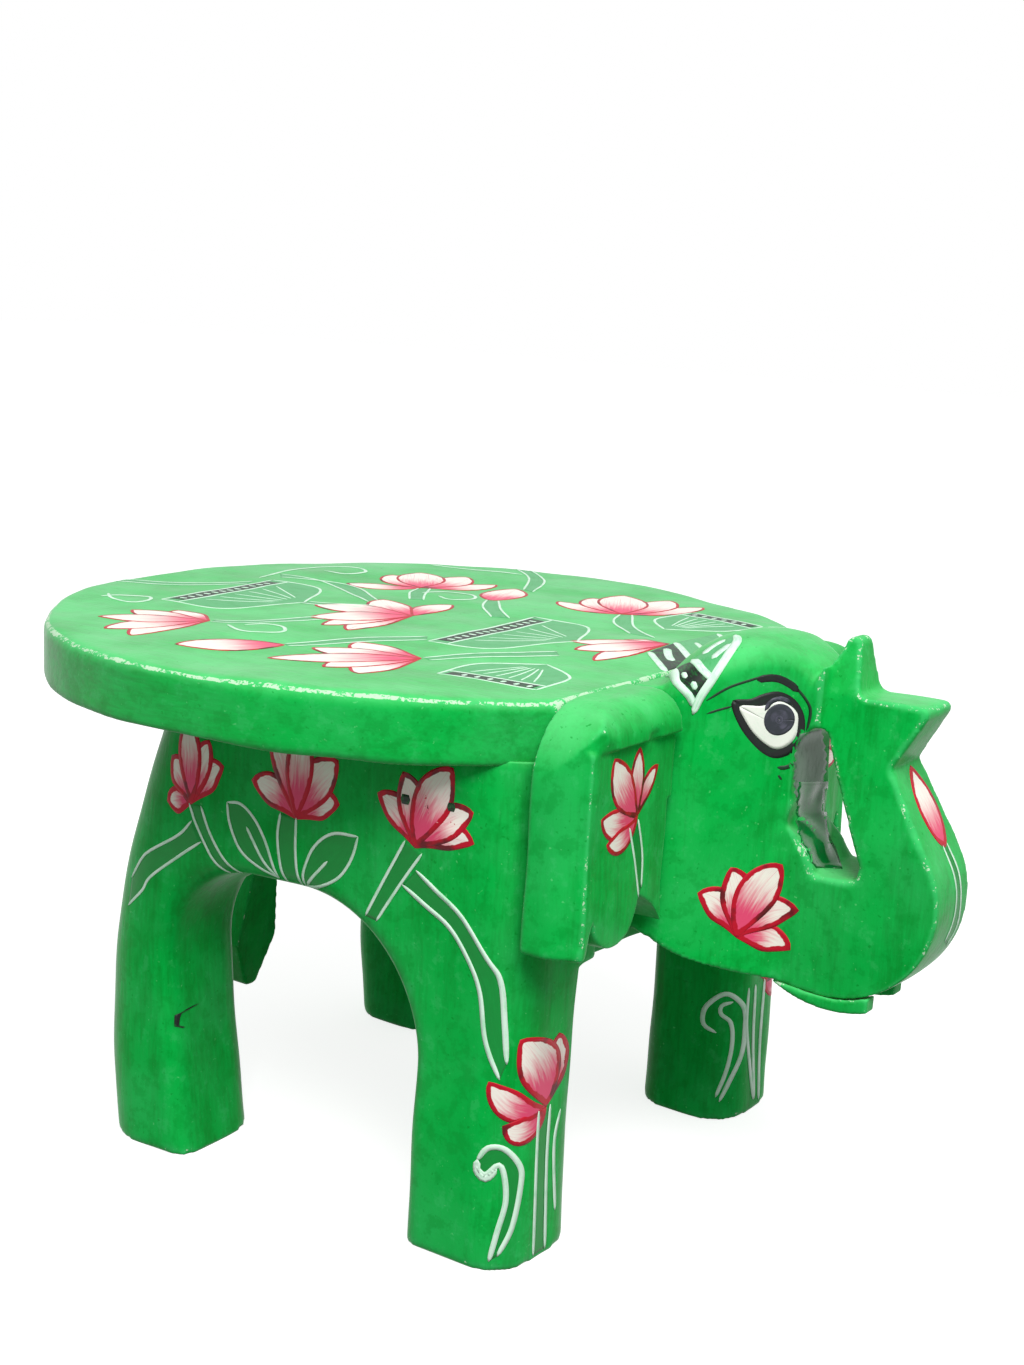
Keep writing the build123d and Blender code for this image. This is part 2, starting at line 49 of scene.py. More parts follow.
seat_grid = 1.3 * mm
seat_softening = 2
seat_waver = 0.25 * mm
enamel_green = (0.001, 0.455, 0.060, 1)
enamel_dark = (0.0, 0.26, 0.022, 1)
enamel_pale = (0.07, 0.62, 0.20, 1)
# the painted highlight on faces that look up, and also the colour of dust in the coat
top_light_and_dust_green = (0.16, 0.74, 0.26, 1)
primer_pale = (0.50, 0.74, 0.50, 1)
enamel_roughness = 0.34
weld = 0.01 * mm
rub_slope = 0.72           # an upper edge is rubbed most where its normal has this Z
rub_spread = 0.11
underside_wear = 0.5       # wear on faces that look down, against 1 on the others
wear_fade = 4 * mm         # the height over which wear runs out below worn_below


def add_object(name, data):
    """A new object in the scene."""
    thing = bpy.data.objects.new(name, data)
    bpy.context.scene.collection.objects.link(thing)
    return thing


def read_vertices(mesh, what):
    """The place ("co") or the normal ("normal") of every vertex, one row for each."""
    values = np.empty(len(mesh.vertices) * 3)
    mesh.vertices.foreach_get(what, values)
    return values.reshape(-1, 3)


def write_attribute(mesh, name, values):
    """One number for every vertex, under a name that a material can read."""
    attribute = mesh.attributes.new(name, "FLOAT", "POINT")
    attribute.data.foreach_set("value", values.astype(np.float32))


def eased(places, edges, counts, times):
    """Every vertex moved half way to the mean of the vertices that share an edge with it, times over."""
    for _ in range(times):
        mean = np.empty_like(places)
        for axis in range(3):
            from_second = np.bincount(edges[:, 0], places[edges[:, 1], axis], len(places))
            from_first = np.bincount(edges[:, 1], places[edges[:, 0], axis], len(places))
            mean[:, axis] = (from_second + from_first) / counts
        places = (places + mean) / 2
    return places


def slow_waves(places, height, seed, wave_count=7, shortest=0.022, longest=0.09):
    """A sum of sine waves in random directions, each as high as its length allows: the unevenness that
    rasp and sandpaper leave, as one height for every place."""
    draw = np.random.default_rng(seed)
    directions = draw.normal(size=(wave_count, 3))
    directions /= np.linalg.norm(directions, axis=1)[:, None]
    lengths = np.linspace(shortest, longest, wave_count)
    phases = draw.uniform(0, 2 * np.pi, wave_count)
    angles = places @ (directions / lengths[:, None] * 2 * np.pi).T + phases
    return height * (np.sin(angles) * lengths / longest).sum(axis=1)


def hand_finished(node, name, enamel, grid, softening, waver, seed, filled=None, carve=None,
                  rubbed=0.06, worn_below=1.0):
    """A node's solid as the carver leaves it: its surface on an even grid of quads, its edges worn round
    (eased, softening times), and pushed along its normal by slow waves. filled names the node of the nails
    that close the holes in it, and carve changes its places first. The attribute ridge holds, in mm, how
    far a vertex stands out from its surroundings; rubbed adds to it along the turn of every upper edge,
    and nothing is worn above worn_below. The attribute upward is how much a vertex faces the ceiling."""
    rough = bpy.data.meshes.new(name + "_rough")
    shell = bmesh.new()
    shell.from_mesh(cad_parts[node].data)
    if filled:
        shell.from_mesh(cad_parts[filled].data)
    bmesh.ops.remove_doubles(shell, verts=shell.verts, dist=weld)
    shell.to_mesh(rough)
    shell.free()
    piece = add_object(name, rough)
    remesh = piece.modifiers.new("even_grid", "REMESH")
    remesh.mode = "VOXEL"
    remesh.voxel_size = grid
    bpy.context.view_layer.update()
    evaluated = piece.evaluated_get(bpy.context.evaluated_depsgraph_get())
    mesh = bpy.data.meshes.new_from_object(evaluated)
    piece.modifiers.clear()
    piece.data = mesh
    mesh.name = name
    bpy.data.meshes.remove(rough)

    places = read_vertices(mesh, "co")
    edges = np.empty(len(mesh.edges) * 2, np.int32)
    mesh.edges.foreach_get("vertices", edges)
    edges = edges.reshape(-1, 2)
    counts = np.bincount(edges.ravel(), minlength=len(places))
    if carve:
        places = carve(places)
    places = eased(places, edges, counts, softening)
    mesh.vertices.foreach_set("co", places.ravel())
    mesh.update()
    normals = read_vertices(mesh, "normal")
    surroundings = eased(places, edges, counts, 3 * softening)
    ridge = ((places - surroundings) * normals).sum(axis=1) / mm
    ridge *= np.where(normals[:, 2] < -0.2, underside_wear, 1)
    ridge += rubbed * np.exp(-(((normals[:, 2] - rub_slope) / rub_spread) ** 2))
    ridge *= np.clip((worn_below - places[:, 2]) / wear_fade, 0, 1)
    waves = slow_waves(places, waver, seed)
    if filled:
        waves = over_nails(places, waves)
    places = places + normals * waves[:, None]
    places[:, 2] = np.maximum(places[:, 2], 0)
    mesh.vertices.foreach_set("co", places.ravel())
    write_attribute(mesh, "ridge", ridge)
    write_attribute(mesh, "upward", np.clip(normals[:, 2] * 1.3 - 0.2, 0, 1))
    mesh.materials.append(enamel)
    mesh.shade_smooth()
    mesh.update()
    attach(piece, "root")
    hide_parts(node)
    return piece


def new_group(name, inputs, outputs):
    """An empty shader node group with number inputs (name, value) and outputs (name, socket type)."""
    group = bpy.data.node_groups.new(name, "ShaderNodeTree")
    for label, value in inputs:
        socket = group.interface.new_socket(label, in_out="INPUT", socket_type="NodeSocketFloat")
        socket.default_value = value
    for label, kind in outputs:
        group.interface.new_socket(label, in_out="OUTPUT", socket_type=kind)
    return group, group.nodes.new("NodeGroupInput"), group.nodes.new("NodeGroupOutput")


def feed(tree, node, operands):
    """Each operand goes to the socket of its name or number: another socket by a link, a number or a
    colour straight on to the socket."""
    for place, operand in operands.items():
        if isinstance(operand, bpy.types.NodeSocket):
            tree.links.new(operand, node.inputs[place])
        else:
            node.inputs[place].default_value = operand


def new_node(tree, kind, operands=None, **settings):
    """A shader node with its settings, fed by operands."""
    node = tree.nodes.new("ShaderNode" + kind)
    for name, value in settings.items():
        setattr(node, name, value)
    feed(tree, node, operands or {})
    return node


def math_node(tree, operation, first, second=0.0, third=0.0):
    """The result of a Math node whose operands are numbers or sockets."""
    return new_node(tree, "Math", {0: first, 1: second, 2: third}, operation=operation).outputs[0]


def mix_node(tree, share, first, second):
    """A mix of two colours; each of share, first and second is a value or a socket."""
    return new_node(tree, "Mix", {0: share, 6: first, 7: second}, data_type="RGBA").outputs[2]


def noise_node(tree, coordinates, scale, detail=2.0, roughness=0.5, stretch=(1, 1, 1)):
    """Noise on coordinates in metres: scale is in blotches to the metre, stretch draws them out."""
    mapping = new_node(tree, "Mapping", {"Vector": coordinates, "Scale": stretch})
    operands = {"Vector": mapping.outputs[0], "Scale": scale, "Detail": detail, "Roughness": roughness}
    return new_node(tree, "TexNoise", operands).outputs[0]


def range_node(tree, value, low, high, to_low=0.0, to_high=1.0):
    """A value from low to high carried, smoothly and clamped, to the range to_low to to_high."""
    operands = {"Value": value, "From Min": low, "From Max": high, "To Min": to_low, "To Max": to_high}
    return new_node(tree, "MapRange", operands, interpolation_type="SMOOTHSTEP").outputs[0]


def object_place(tree):
    """The place on the piece, in metres."""
    return new_node(tree, "TexCoord").outputs["Object"]


def attribute_value(tree, name):
    """A number that the mesh holds for every vertex."""
    return new_node(tree, "Attribute", attribute_name=name).outputs["Fac"]


lap_scale = 60             # all scales are in blotches to the metre
bristle_scale = 620
orange_peel_scale = 420


def brush_marks_group():
    """Brush marks that run along the piece: Shade is 0 to 1 over broad laps and fine bristles together,
    Height is their relief with orange peel over it."""
    group, given, result = new_group(
        "brush_marks",
        [("Along X", 1.0), ("Along Y", 1.0), ("Along Z", 0.12)],
        [("Shade", "NodeSocketFloat"), ("Height", "NodeSocketFloat")],
    )
    position = object_place(group)
    scales = new_node(group, "CombineXYZ", {axis: given.outputs[axis] for axis in range(3)}).outputs[0]
    drawn_out = new_node(group, "VectorMath", {0: position, 1: scales}, operation="MULTIPLY").outputs[0]
    laps = noise_node(group, drawn_out, lap_scale, 3, 0.55)
    bristles = noise_node(group, drawn_out, bristle_scale, 3, 0.6)
    orange_peel = noise_node(group, position, orange_peel_scale, 2, 0.5)
    shade = math_node(group, "MULTIPLY_ADD", bristles, 0.4, math_node(group, "MULTIPLY", laps, 0.6))
    relief = math_node(group, "MULTIPLY", bristles, 0.5)
    relief = math_node(group, "MULTIPLY_ADD", orange_peel, 0.35, relief)
    relief = math_node(group, "MULTIPLY_ADD", laps, 0.8, relief)
    feed(group, result, {"Shade": shade, "Height": relief})
    return group


chip_scale = 150
speck_scale = 900
thin_ridge = (0.10, 0.36)  # mm that an edge stands out where its coat starts to thin, and is thinnest
crest_ridge = (0.13, 0.28)
hollow_ridge = (-0.08, -0.45)
chip_chance = (0.72, 0.80)


def edge_wear_group():
    """Where handling has thinned the enamel: Worn is 1 on chipped ridges, Thin is 1 along every softened
    edge, Deep is 1 in hollows. All three come from the ridge attribute, broken up by noise."""
    group, given, result = new_group(
        "edge_wear",
        [("Chips", 0.0)],
        [("Worn", "NodeSocketFloat"), ("Thin", "NodeSocketFloat"), ("Deep", "NodeSocketFloat")],
    )
    position = object_place(group)
    standing = attribute_value(group, "ridge")
    blotches = noise_node(group, position, chip_scale, 3, 0.65)
    specks = noise_node(group, position, speck_scale, 2, 0.6)
    thin = range_node(group, standing, *thin_ridge)
    crest = range_node(group, standing, *crest_ridge)
    chance = math_node(group, "MULTIPLY_ADD", specks, 0.7, math_node(group, "MULTIPLY", blotches, 0.7))
    chance = math_node(group, "ADD", chance, given.outputs["Chips"])
    chipped = range_node(group, math_node(group, "MULTIPLY", chance, crest), *chip_chance)
    deep = range_node(group, standing, *hollow_ridge)
    feed(group, result, {"Worn": chipped, "Thin": thin, "Deep": deep})
    return group


def new_material(name):
    """A new material, the tree to add to, and its Principled shader."""
    material = bpy.data.materials.new(name)
    material.use_nodes = True
    return material, material.node_tree, material.node_tree.nodes["Principled BSDF"]


brush_marks = brush_marks_group()
edge_wear = edge_wear_group()
mottle_scale = 26
cloud_scale = 120
grit_scale = 520


def painted_wood(name, along=(1, 1, 0.12), chips=-0.06, haze=0.05, shine=0.04):
    """Green enamel: brushed along the smallest of the three scales, paler where it is thin on the edges,
    chipped to the primer here and there, darker in hollows, with a painted highlight on faces that look up."""
    material, tree, shader = new_material(name)
    marks = new_node(tree, "Group", node_tree=brush_marks)
    feed(tree, marks, dict(enumerate(along)))
    wear = new_node(tree, "Group", node_tree=edge_wear)
    feed(tree, wear, {"Chips": chips})
    position = object_place(tree)
    mottle = range_node(tree, noise_node(tree, position, mottle_scale, 3, 0.55), 0.35, 0.7)
    cloud = noise_node(tree, position, cloud_scale, 4, 0.68)
    grit = noise_node(tree, position, grit_scale, 2, 0.5)
    # Painted highlight: faces that look up are mixed towards a paler green, more where the mottle is high.
    top_highlight = math_node(tree, "MULTIPLY_ADD", mottle, 0.3, 0.25)
    top_highlight = math_node(tree, "MULTIPLY", attribute_value(tree, "upward"), top_highlight)
    laid = range_node(tree, marks.outputs["Shade"], 0.36, 0.58, 0.35, 1)
    coat = mix_node(tree, laid, enamel_dark, enamel_green)
    for share, colour in (
        (math_node(tree, "MULTIPLY", mottle, 0.22), enamel_pale),                # broad pale laps
        (range_node(tree, cloud, 0.50, 0.38, 0, 0.34), enamel_dark),             # thick daubs
        (range_node(tree, cloud, 0.56, 0.68, 0, 0.20), enamel_pale),             # thin daubs
        (top_highlight, top_light_and_dust_green),                                                # painted highlight on faces that look up
        (math_node(tree, "MULTIPLY", wear.outputs["Thin"], 0.35), enamel_pale),  # edges
        (range_node(tree, grit, 0.70, 0.78, 0, 0.4), top_light_and_dust_green),              # dust in the coat
        (range_node(tree, grit, 0.32, 0.25, 0, 0.6), enamel_dark),               # pinholes
        (math_node(tree, "MULTIPLY", wear.outputs["Deep"], 0.6), enamel_dark),   # darker in hollows
        (wear.outputs["Worn"], primer_pale),                                     # chips
    ):
        coat = mix_node(tree, share, coat, colour)
    rough = range_node(
        tree, marks.outputs["Shade"], 0.3, 0.7, enamel_roughness - 0.06, enamel_roughness + 0.08
    )
    rough = math_node(tree, "MULTIPLY_ADD", wear.outputs["Worn"], 0.3, rough)
    relief = {"Strength": 0.7, "Distance": 0.3 * mm, "Height": marks.outputs["Height"]}
    bump = new_node(tree, "Bump", relief)
    feed(tree, shader, {
        "Base Color": coat, "Roughness": rough, "Specular IOR Level": shine, "Sheen Weight": haze,
        "Sheen Roughness": 0.45, "Normal": bump.outputs[0],
    })
    return material


seat_enamel = painted_wood("seat_enamel", along=(0.15, 1, 1), chips=0.09, haze=0.26, shine=0.03)
seat = hand_finished(
    "seat_board", "seat", seat_enamel, seat_grid, seat_softening, seat_waver, seed=3, rubbed=0.18
)

# ---------------- painting on the seat
# Lotus flowers, buds and seed pods, brushed by hand in thick poster colour over the dry enamel: each
# petal runs from pink to cream inside a crimson outline, stems and pods are white lines on grey green.

film_height = 0.05 * mm    # of the lowest layer over the wood
film_rise = 0.02 * mm      # from each layer to the next
film_thickness = 0.12 * mm
crimson = (0.50, 0.004, 0.020, 1)
crimson_dark = (0.12, 0.004, 0.008, 1)
petal_pink = (0.78, 0.070, 0.17, 1)
petal_cream = (0.93, 0.88, 0.79, 1)
line_mint = (0.40, 0.80, 0.50, 1)
line_white = (0.70, 0.92, 0.76, 1)
stem_grey = (0.004, 0.25, 0.038, 1)
pod_grey = (0.085, 0.42, 0.155, 1)
pod_black = (0.008, 0.014, 0.010, 1)
lotus_film, white_film, stem_film, pod_film, band_film = range(5)     # places in folk_paints
outline_width = 1.2        # everything drawn is in mm on its canvas
line_width = 1.1
petal_pallor = 0.12
film_cell = 1.2            # the least size of a film's cells
petal_cell = 1.1
stem_cell = 1.5
pod_cell = 1.3
line_layer = 8
canvas_distance = 400.0    # from which the drawings are projected on to the wood
least_area = 1e-3          # smaller cells are left out
stroke_shift = 3.7         # how far the streaks of one film lie from those of the next


def smooth_line(points, count, closed=False):
    """A line through the points: between two of them each coordinate is the Catmull-Rom cubic of the
    points on both sides, and the whole is divided into equal lengths."""
    points = np.asarray(points, float)
    if closed:
        control = np.vstack([points[-1], points, points[:2]])
    else:
        control = np.vstack([2 * points[0] - points[1], points, 2 * points[-1] - points[-2]])
    spans = len(control) - 3
    place = np.linspace(0, spans, 16 * spans + 1)
    first = np.minimum(place.astype(int), spans - 1)
    share = (place - first)[:, None]
    a, b, c, d = (control[first + k] for k in range(4))
    line = b + (c - a) * share / 2 + (a - 2.5 * b + 2 * c - d / 2) * share**2
    line += (1.5 * (b - c) + (d - a) / 2) * share**3
    travelled = np.append(0, np.cumsum(np.linalg.norm(np.diff(line, axis=0), axis=1)))
    even = np.linspace(0, travelled[-1], count)
    return np.stack([np.interp(even, travelled, line[:, axis]) for axis in range(2)], axis=1)


def beside(line, distance):
    """A line moved sideways by a distance, or by one distance for each of its points."""
    heading = np.gradient(line, axis=0)
    heading /= np.maximum(np.linalg.norm(heading, axis=1), 1e-9)[:, None]
    return line + np.stack([-heading[:, 1], heading[:, 0]], axis=1) * np.reshape(distance, (-1, 1))


def length_of(points):
    """The length of the straight lines from point to point."""
    return np.linalg.norm(np.diff(np.asarray(points, float), axis=0), axis=1).sum()


def depth_inside(grid, outline):
    """How far each place of a grid lies from a closed outline: the least distance to its segments."""
    start, end = outline, np.roll(outline, -1, axis=0)
    span = end - start
    length = np.maximum((span**2).sum(axis=1), 1e-12)
    to_place = grid[..., None, :] - start
    share = np.clip((to_place * span).sum(axis=-1) / length, 0, 1)
    return np.linalg.norm(to_place - share[..., None] * span, axis=-1).min(axis=-1)


def ruled(left, right, paint, layer):
    """The surface between two lines: along u it follows them, and along v it goes straight from the left
    to the right one. depth is the distance from its outline."""
    width = np.linalg.norm(left - right, axis=1).max()
    across = np.linspace(0, 1, max(3, int(width / film_cell) + 2))
    grid = left[:, None] * (1 - across)[None, :, None] + right[:, None] * across[None, :, None]
    outline = np.vstack([left, right[::-1]])
    along = np.repeat(np.linspace(0, 1, len(left))[:, None], len(across), axis=1)
    side = (across - 0.5)[None, :] * np.linalg.norm(left - right, axis=1)[:, None]
    return {"grid": grid, "depth": depth_inside(grid, outline), "along": along, "side": side,
            "paint": paint, "layer": layer}


def petal(base, tip, half_width, bow, widest, layer=1, outline=outline_width, pallor=petal_pallor):
    """A petal: its middle line is a parabola from base to tip that stands out sideways by bow, and its
    half width is half_width times the sine of pi u^k, which is greatest where u is widest. depth is given
    in widths of its own outline, and pallor moves the blush down towards the base."""
    base, tip = np.asarray(base, float), np.asarray(tip, float)
    share = np.linspace(0, 1, max(10, int(np.linalg.norm(tip - base) / petal_cell)))
    chord = base + (tip - base) * share[:, None]
    middle = beside(chord, 4 * bow * share * (1 - share))
    half = half_width * np.sin(np.pi * share ** (np.log(0.5) / np.log(widest))) ** 0.7
    half = np.maximum(half, 0.05)
    shape = ruled(beside(middle, half), beside(middle, -half), lotus_film, layer)
    shape["depth"] = shape["depth"] / outline
    shape["along"] = shape["along"] + pallor
    return shape


def stroke(points, width=line_width, paint=white_film, layer=line_layer, count=None):
    """A brush line: a ribbon on both sides of a smooth line, whose ends are rounded off."""
    line = smooth_line(points, count or max(6, int(length_of(points) / film_cell)))
    share = np.linspace(-1, 1, len(line))
    half = width / 2 * np.sqrt(np.maximum(1 - share**12, 0.02))
    return ruled(beside(line, half), beside(line, -half), paint, layer)


def stem(left, right, paint=stem_film, width=line_width):
    """Two white lines with the darker filling between them."""
    count = max(8, int(length_of(left) / stem_cell))
    filling = ruled(smooth_line(left, count), smooth_line(right, count), paint, 0)
    return [filling, stroke(left, width), stroke(right, width)]


def lotus(base, petals, fullness=1.0, outline=outline_width, pallor=petal_pallor):
    """Petals that spread from one base, each given as tip, half width and bow; later ones lie on top."""
    return [petal(base, tip, half * fullness, bow, 0.56, 1 + 0.7 * k, outline, pallor)
            for k, (tip, half, bow) in enumerate(petals)]


def seed_pod(rim_left, rim_right, apex, band=8.0):
    """A cone seen from the side: a rim band with pale seeds along it, then a bowl that narrows to the
    apex, with fine lines that run together there."""
    rim_left, rim_right, apex = (np.asarray(p, float) for p in (rim_left, rim_right, apex))
    centre = (rim_left + rim_right) / 2
    inwards = (apex - centre) / np.linalg.norm(apex - centre)
    inner_left, inner_right = rim_left + inwards * band, rim_right + inwards * band
    left_side = [rim_left, rim_left + (apex - centre) * 0.62 + (rim_left - centre) * -0.08, apex]
    right_side = [rim_right, rim_right + (apex - centre) * 0.62 + (rim_right - centre) * -0.08, apex]
    reach = np.linalg.norm(rim_right - rim_left)
    count = max(12, int(np.linalg.norm(apex - centre) / pod_cell))
    films = [ruled(smooth_line(left_side, count), smooth_line(right_side, count), pod_film, 0)]
    band_edges = [
        smooth_line([left * 0.94 + right * 0.06, right * 0.94 + left * 0.06], int(reach / pod_cell))
        for left, right in ((rim_left, rim_right), (inner_left, inner_right))
    ]
    films.append(ruled(*band_edges, band_film, 1))
    for share in np.arange(0.12, 0.9, 5.0 / reach):
        seed = rim_left + (rim_right - rim_left) * share + inwards * band * 0.5
        seed_line = [seed - inwards * band * 0.22, seed + inwards * band * 0.2]
        films.append(stroke(seed_line, 1.6, layer=3, count=6))
    for share in np.linspace(0.18, 0.82, 6):
        start = inner_left + (inner_right - inner_left) * share + inwards * 3.0
        end = apex + (start - apex) * 0.3
        films.append(stroke([start, (start + end) / 2 + inwards * 0.5, end], 0.7, layer=2))
    for line in ([inner_left, inner_right], left_side, right_side, [rim_left, rim_right]):
        films.append(stroke(line, layer=4))
    return films


def upright_canvas(turn, lean=0.0):
    """The two directions of a drawing and the way it faces. turn, in degrees, is how far its left-to-right
    direction is turned from X, and lean how far it lies back."""
    turn, lean = np.radians((turn, lean))
    level = np.array((np.cos(turn), np.sin(turn), 0.0))
    front = np.array((np.sin(turn), -np.cos(turn), 0.0))
    top = np.array((0.0, 0.0, 1.0))
    rise = top * np.cos(lean) - front * np.sin(lean)
    return level, rise, front * np.cos(lean) + top * np.sin(lean)


def joined(films, highest):
    """All films of a drawing as one flat mesh: its places in mm, none above highest, its faces, which
    look at the painter, the paint of every face, and the layer and the other values of every place."""
    places, faces, paints, layers = [], [], [], []
    values = {"depth": [], "along": [], "side": [], "stroke": []}
    start = 0
    for number, film in enumerate(films):
        rows, columns = film["grid"].shape[:2]
        index = np.arange(rows * columns).reshape(rows, columns)
        quads = np.stack([index[:-1, :-1], index[:-1, 1:], index[1:, 1:], index[1:, :-1]], axis=-1)
        quads = quads.reshape(-1, 4)
        grid = film["grid"].reshape(-1, 2)
        turning = grid[quads] - np.roll(grid[quads], 1, axis=1)
        following = np.roll(turning, -1, axis=1)
        area = (turning[..., 0] * following[..., 1] - turning[..., 1] * following[..., 0]).sum()
        faces.append(start + (quads if area > 0 else quads[:, ::-1]))
        places.append(grid)
        paints.append(np.full(len(quads), film["paint"], np.int32))
        layers.append(np.full(len(grid), float(film["layer"])))
        for key in ("depth", "along", "side"):
            values[key].append(film[key].ravel())
        values["stroke"].append(np.full(len(grid), float(number)))
        start += rows * columns
    places, faces, paints, layers = (np.concatenate(parts) for parts in (places, faces, paints, layers))
    places[:, 1] = np.minimum(places[:, 1], highest)
    ring = places[faces]
    area = np.abs(np.cross(ring[:, 2] - ring[:, 0], ring[:, 3] - ring[:, 1]))
    values = {key: np.concatenate(parts) for key, parts in values.items()}
    return places, faces[area > least_area], paints[area > least_area], layers, values


def projected(places, faces, turned, wood):
    """Places on a canvas moved square to it on to the wood (Shrinkwrap), and which of them missed it."""
    mesh = bpy.data.meshes.new("drawing")
    mesh.from_pydata(places, [], faces)
    drawing = add_object("drawing", mesh)
    drawing.matrix_world = Matrix(turned)
    wrap = drawing.modifiers.new("on_the_wood", "SHRINKWRAP")
    wrap.target = wood
    wrap.wrap_method = "PROJECT"
    wrap.use_project_z = True
    wrap.use_positive_direction = False
    wrap.use_negative_direction = True
    bpy.context.view_layer.update()
    laid = read_vertices(drawing.evaluated_get(bpy.context.evaluated_depsgraph_get()).data, "co")
    bpy.data.objects.remove(drawing)
    bpy.data.meshes.remove(mesh)
    return laid, laid[:, 2] > (canvas_distance - 1) * mm


def painted_films(name, films, canvas, wood, paints, mirrored=False, highest=np.inf):
    """Lays painted shapes on a piece of wood: all are projected on to it from the canvas, raised along
    their normals by the height of their layer, and given the thickness of the paint. mirrored lays the
    same drawing on the other side of the animal."""
    flat, faces, paint_of_face, layers, values = joined(films, highest)
    level, rise, out = canvas
    sense = -1 if mirrored else 1
    other_side = np.array((1, sense, 1))
    turned = np.eye(4)
    turned[:3, :3] = np.column_stack([sense * level * other_side, rise * other_side, out * other_side])
    faces = faces[:, ::sense]
    flat = np.column_stack([flat[:, 0] * sense, flat[:, 1], np.full(len(flat), canvas_distance)]) * mm
    laid, missed = projected(flat, faces, turned, wood)
    whole = ~missed[faces].any(axis=1)
    used, faces = np.unique(faces[whole], return_inverse=True)
    places = laid[used] @ turned[:3, :3].T
    mesh = bpy.data.meshes.new(name)
    mesh.from_pydata(places, [], faces.reshape(-1, 4))
    mesh.polygons.foreach_set("material_index", paint_of_face[whole])
    mesh.shade_smooth()
    height = film_height + film_rise * layers[used]
    places = places + read_vertices(mesh, "normal") * height[:, None]
    mesh.vertices.foreach_set("co", places.ravel())
    for key, numbers in values.items():
        write_attribute(mesh, key, numbers[used])
    for paint in paints:
        mesh.materials.append(paint)
    mesh.update()
    piece = add_object(name, mesh)
    thick = piece.modifiers.new("paint_thickness", "SOLIDIFY")
    thick.thickness = film_thickness
    thick.offset = -1
    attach(piece, "root")


def on_the_film(tree, fine_across, fine_along):
    """Coordinates that follow a painted shape: across it, along it, and a place of its own for each."""
    scales = (("side", fine_across), ("along", fine_along), ("stroke", stroke_shift))
    return new_node(tree, "CombineXYZ", {
        axis: math_node(tree, "MULTIPLY", attribute_value(tree, name), scale)
        for axis, (name, scale) in enumerate(scales)
    }).outputs[0]


def paint_shader(name, roughness=0.42, specular=0.2):
    """A new material for poster colour, which dries nearly matt, the tree to add to, and its shader."""
    material, tree, shader = new_material(name)
    feed(tree, shader, {"Roughness": roughness, "Specular IOR Level": specular})
    return material, tree, shader


def petal_paint():
    """Pink at the base and cream at the tip, drawn together with a nearly dry brush in fine streaks along
    the petal, and a crimson outline that thickens into the tip."""
    material, tree, shader = paint_shader("lotus_petal")
    streaks = noise_node(tree, on_the_film(tree, 1.3, 3.0), 1.0, 3, 0.6)
    along = math_node(tree, "MULTIPLY_ADD", streaks, 0.55, attribute_value(tree, "along"))
    blush = range_node(tree, along, 0.56, 1.08)
    colour = mix_node(tree, blush, petal_pink, petal_cream)
    hairline = noise_node(tree, on_the_film(tree, 3.2, 1.6), 1.0, 2, 0.5)
    colour = mix_node(tree, range_node(tree, hairline, 0.60, 0.72, 0, 0.45), colour, petal_pink)
    position = object_place(tree)
    wobble = math_node(tree, "MULTIPLY_ADD", noise_node(tree, position, 260, 2, 0.5), 0.9, -0.45)
    depth = math_node(tree, "ADD", attribute_value(tree, "depth"), wobble)
    outline = range_node(tree, depth, 1.08, 0.92)
    pooled = range_node(tree, noise_node(tree, position, 120, 2, 0.5), 0.5, 0.68)
    red = mix_node(tree, pooled, crimson, crimson_dark)
    feed(tree, shader, {"Base Color": mix_node(tree, outline, colour, red)})
    return material


def plain_paint(name, colour, thin_colour, thin_share=0.5, **gloss):
    """One poster colour, streaky along the brush stroke and thin enough in places to show the ground."""
    material, tree, shader = paint_shader(name, **gloss)
    streaks = noise_node(tree, on_the_film(tree, 1.6, 6.0), 1.0, 3, 0.6)
    patches = noise_node(tree, object_place(tree), 180, 3, 0.6)
    cover = math_node(tree, "MULTIPLY_ADD", patches, 0.5, math_node(tree, "MULTIPLY", streaks, 0.5))
    thin = range_node(tree, cover, 0.46, 0.64, 0, thin_share)
    feed(tree, shader, {"Base Color": mix_node(tree, thin, colour, thin_colour)})
    return material


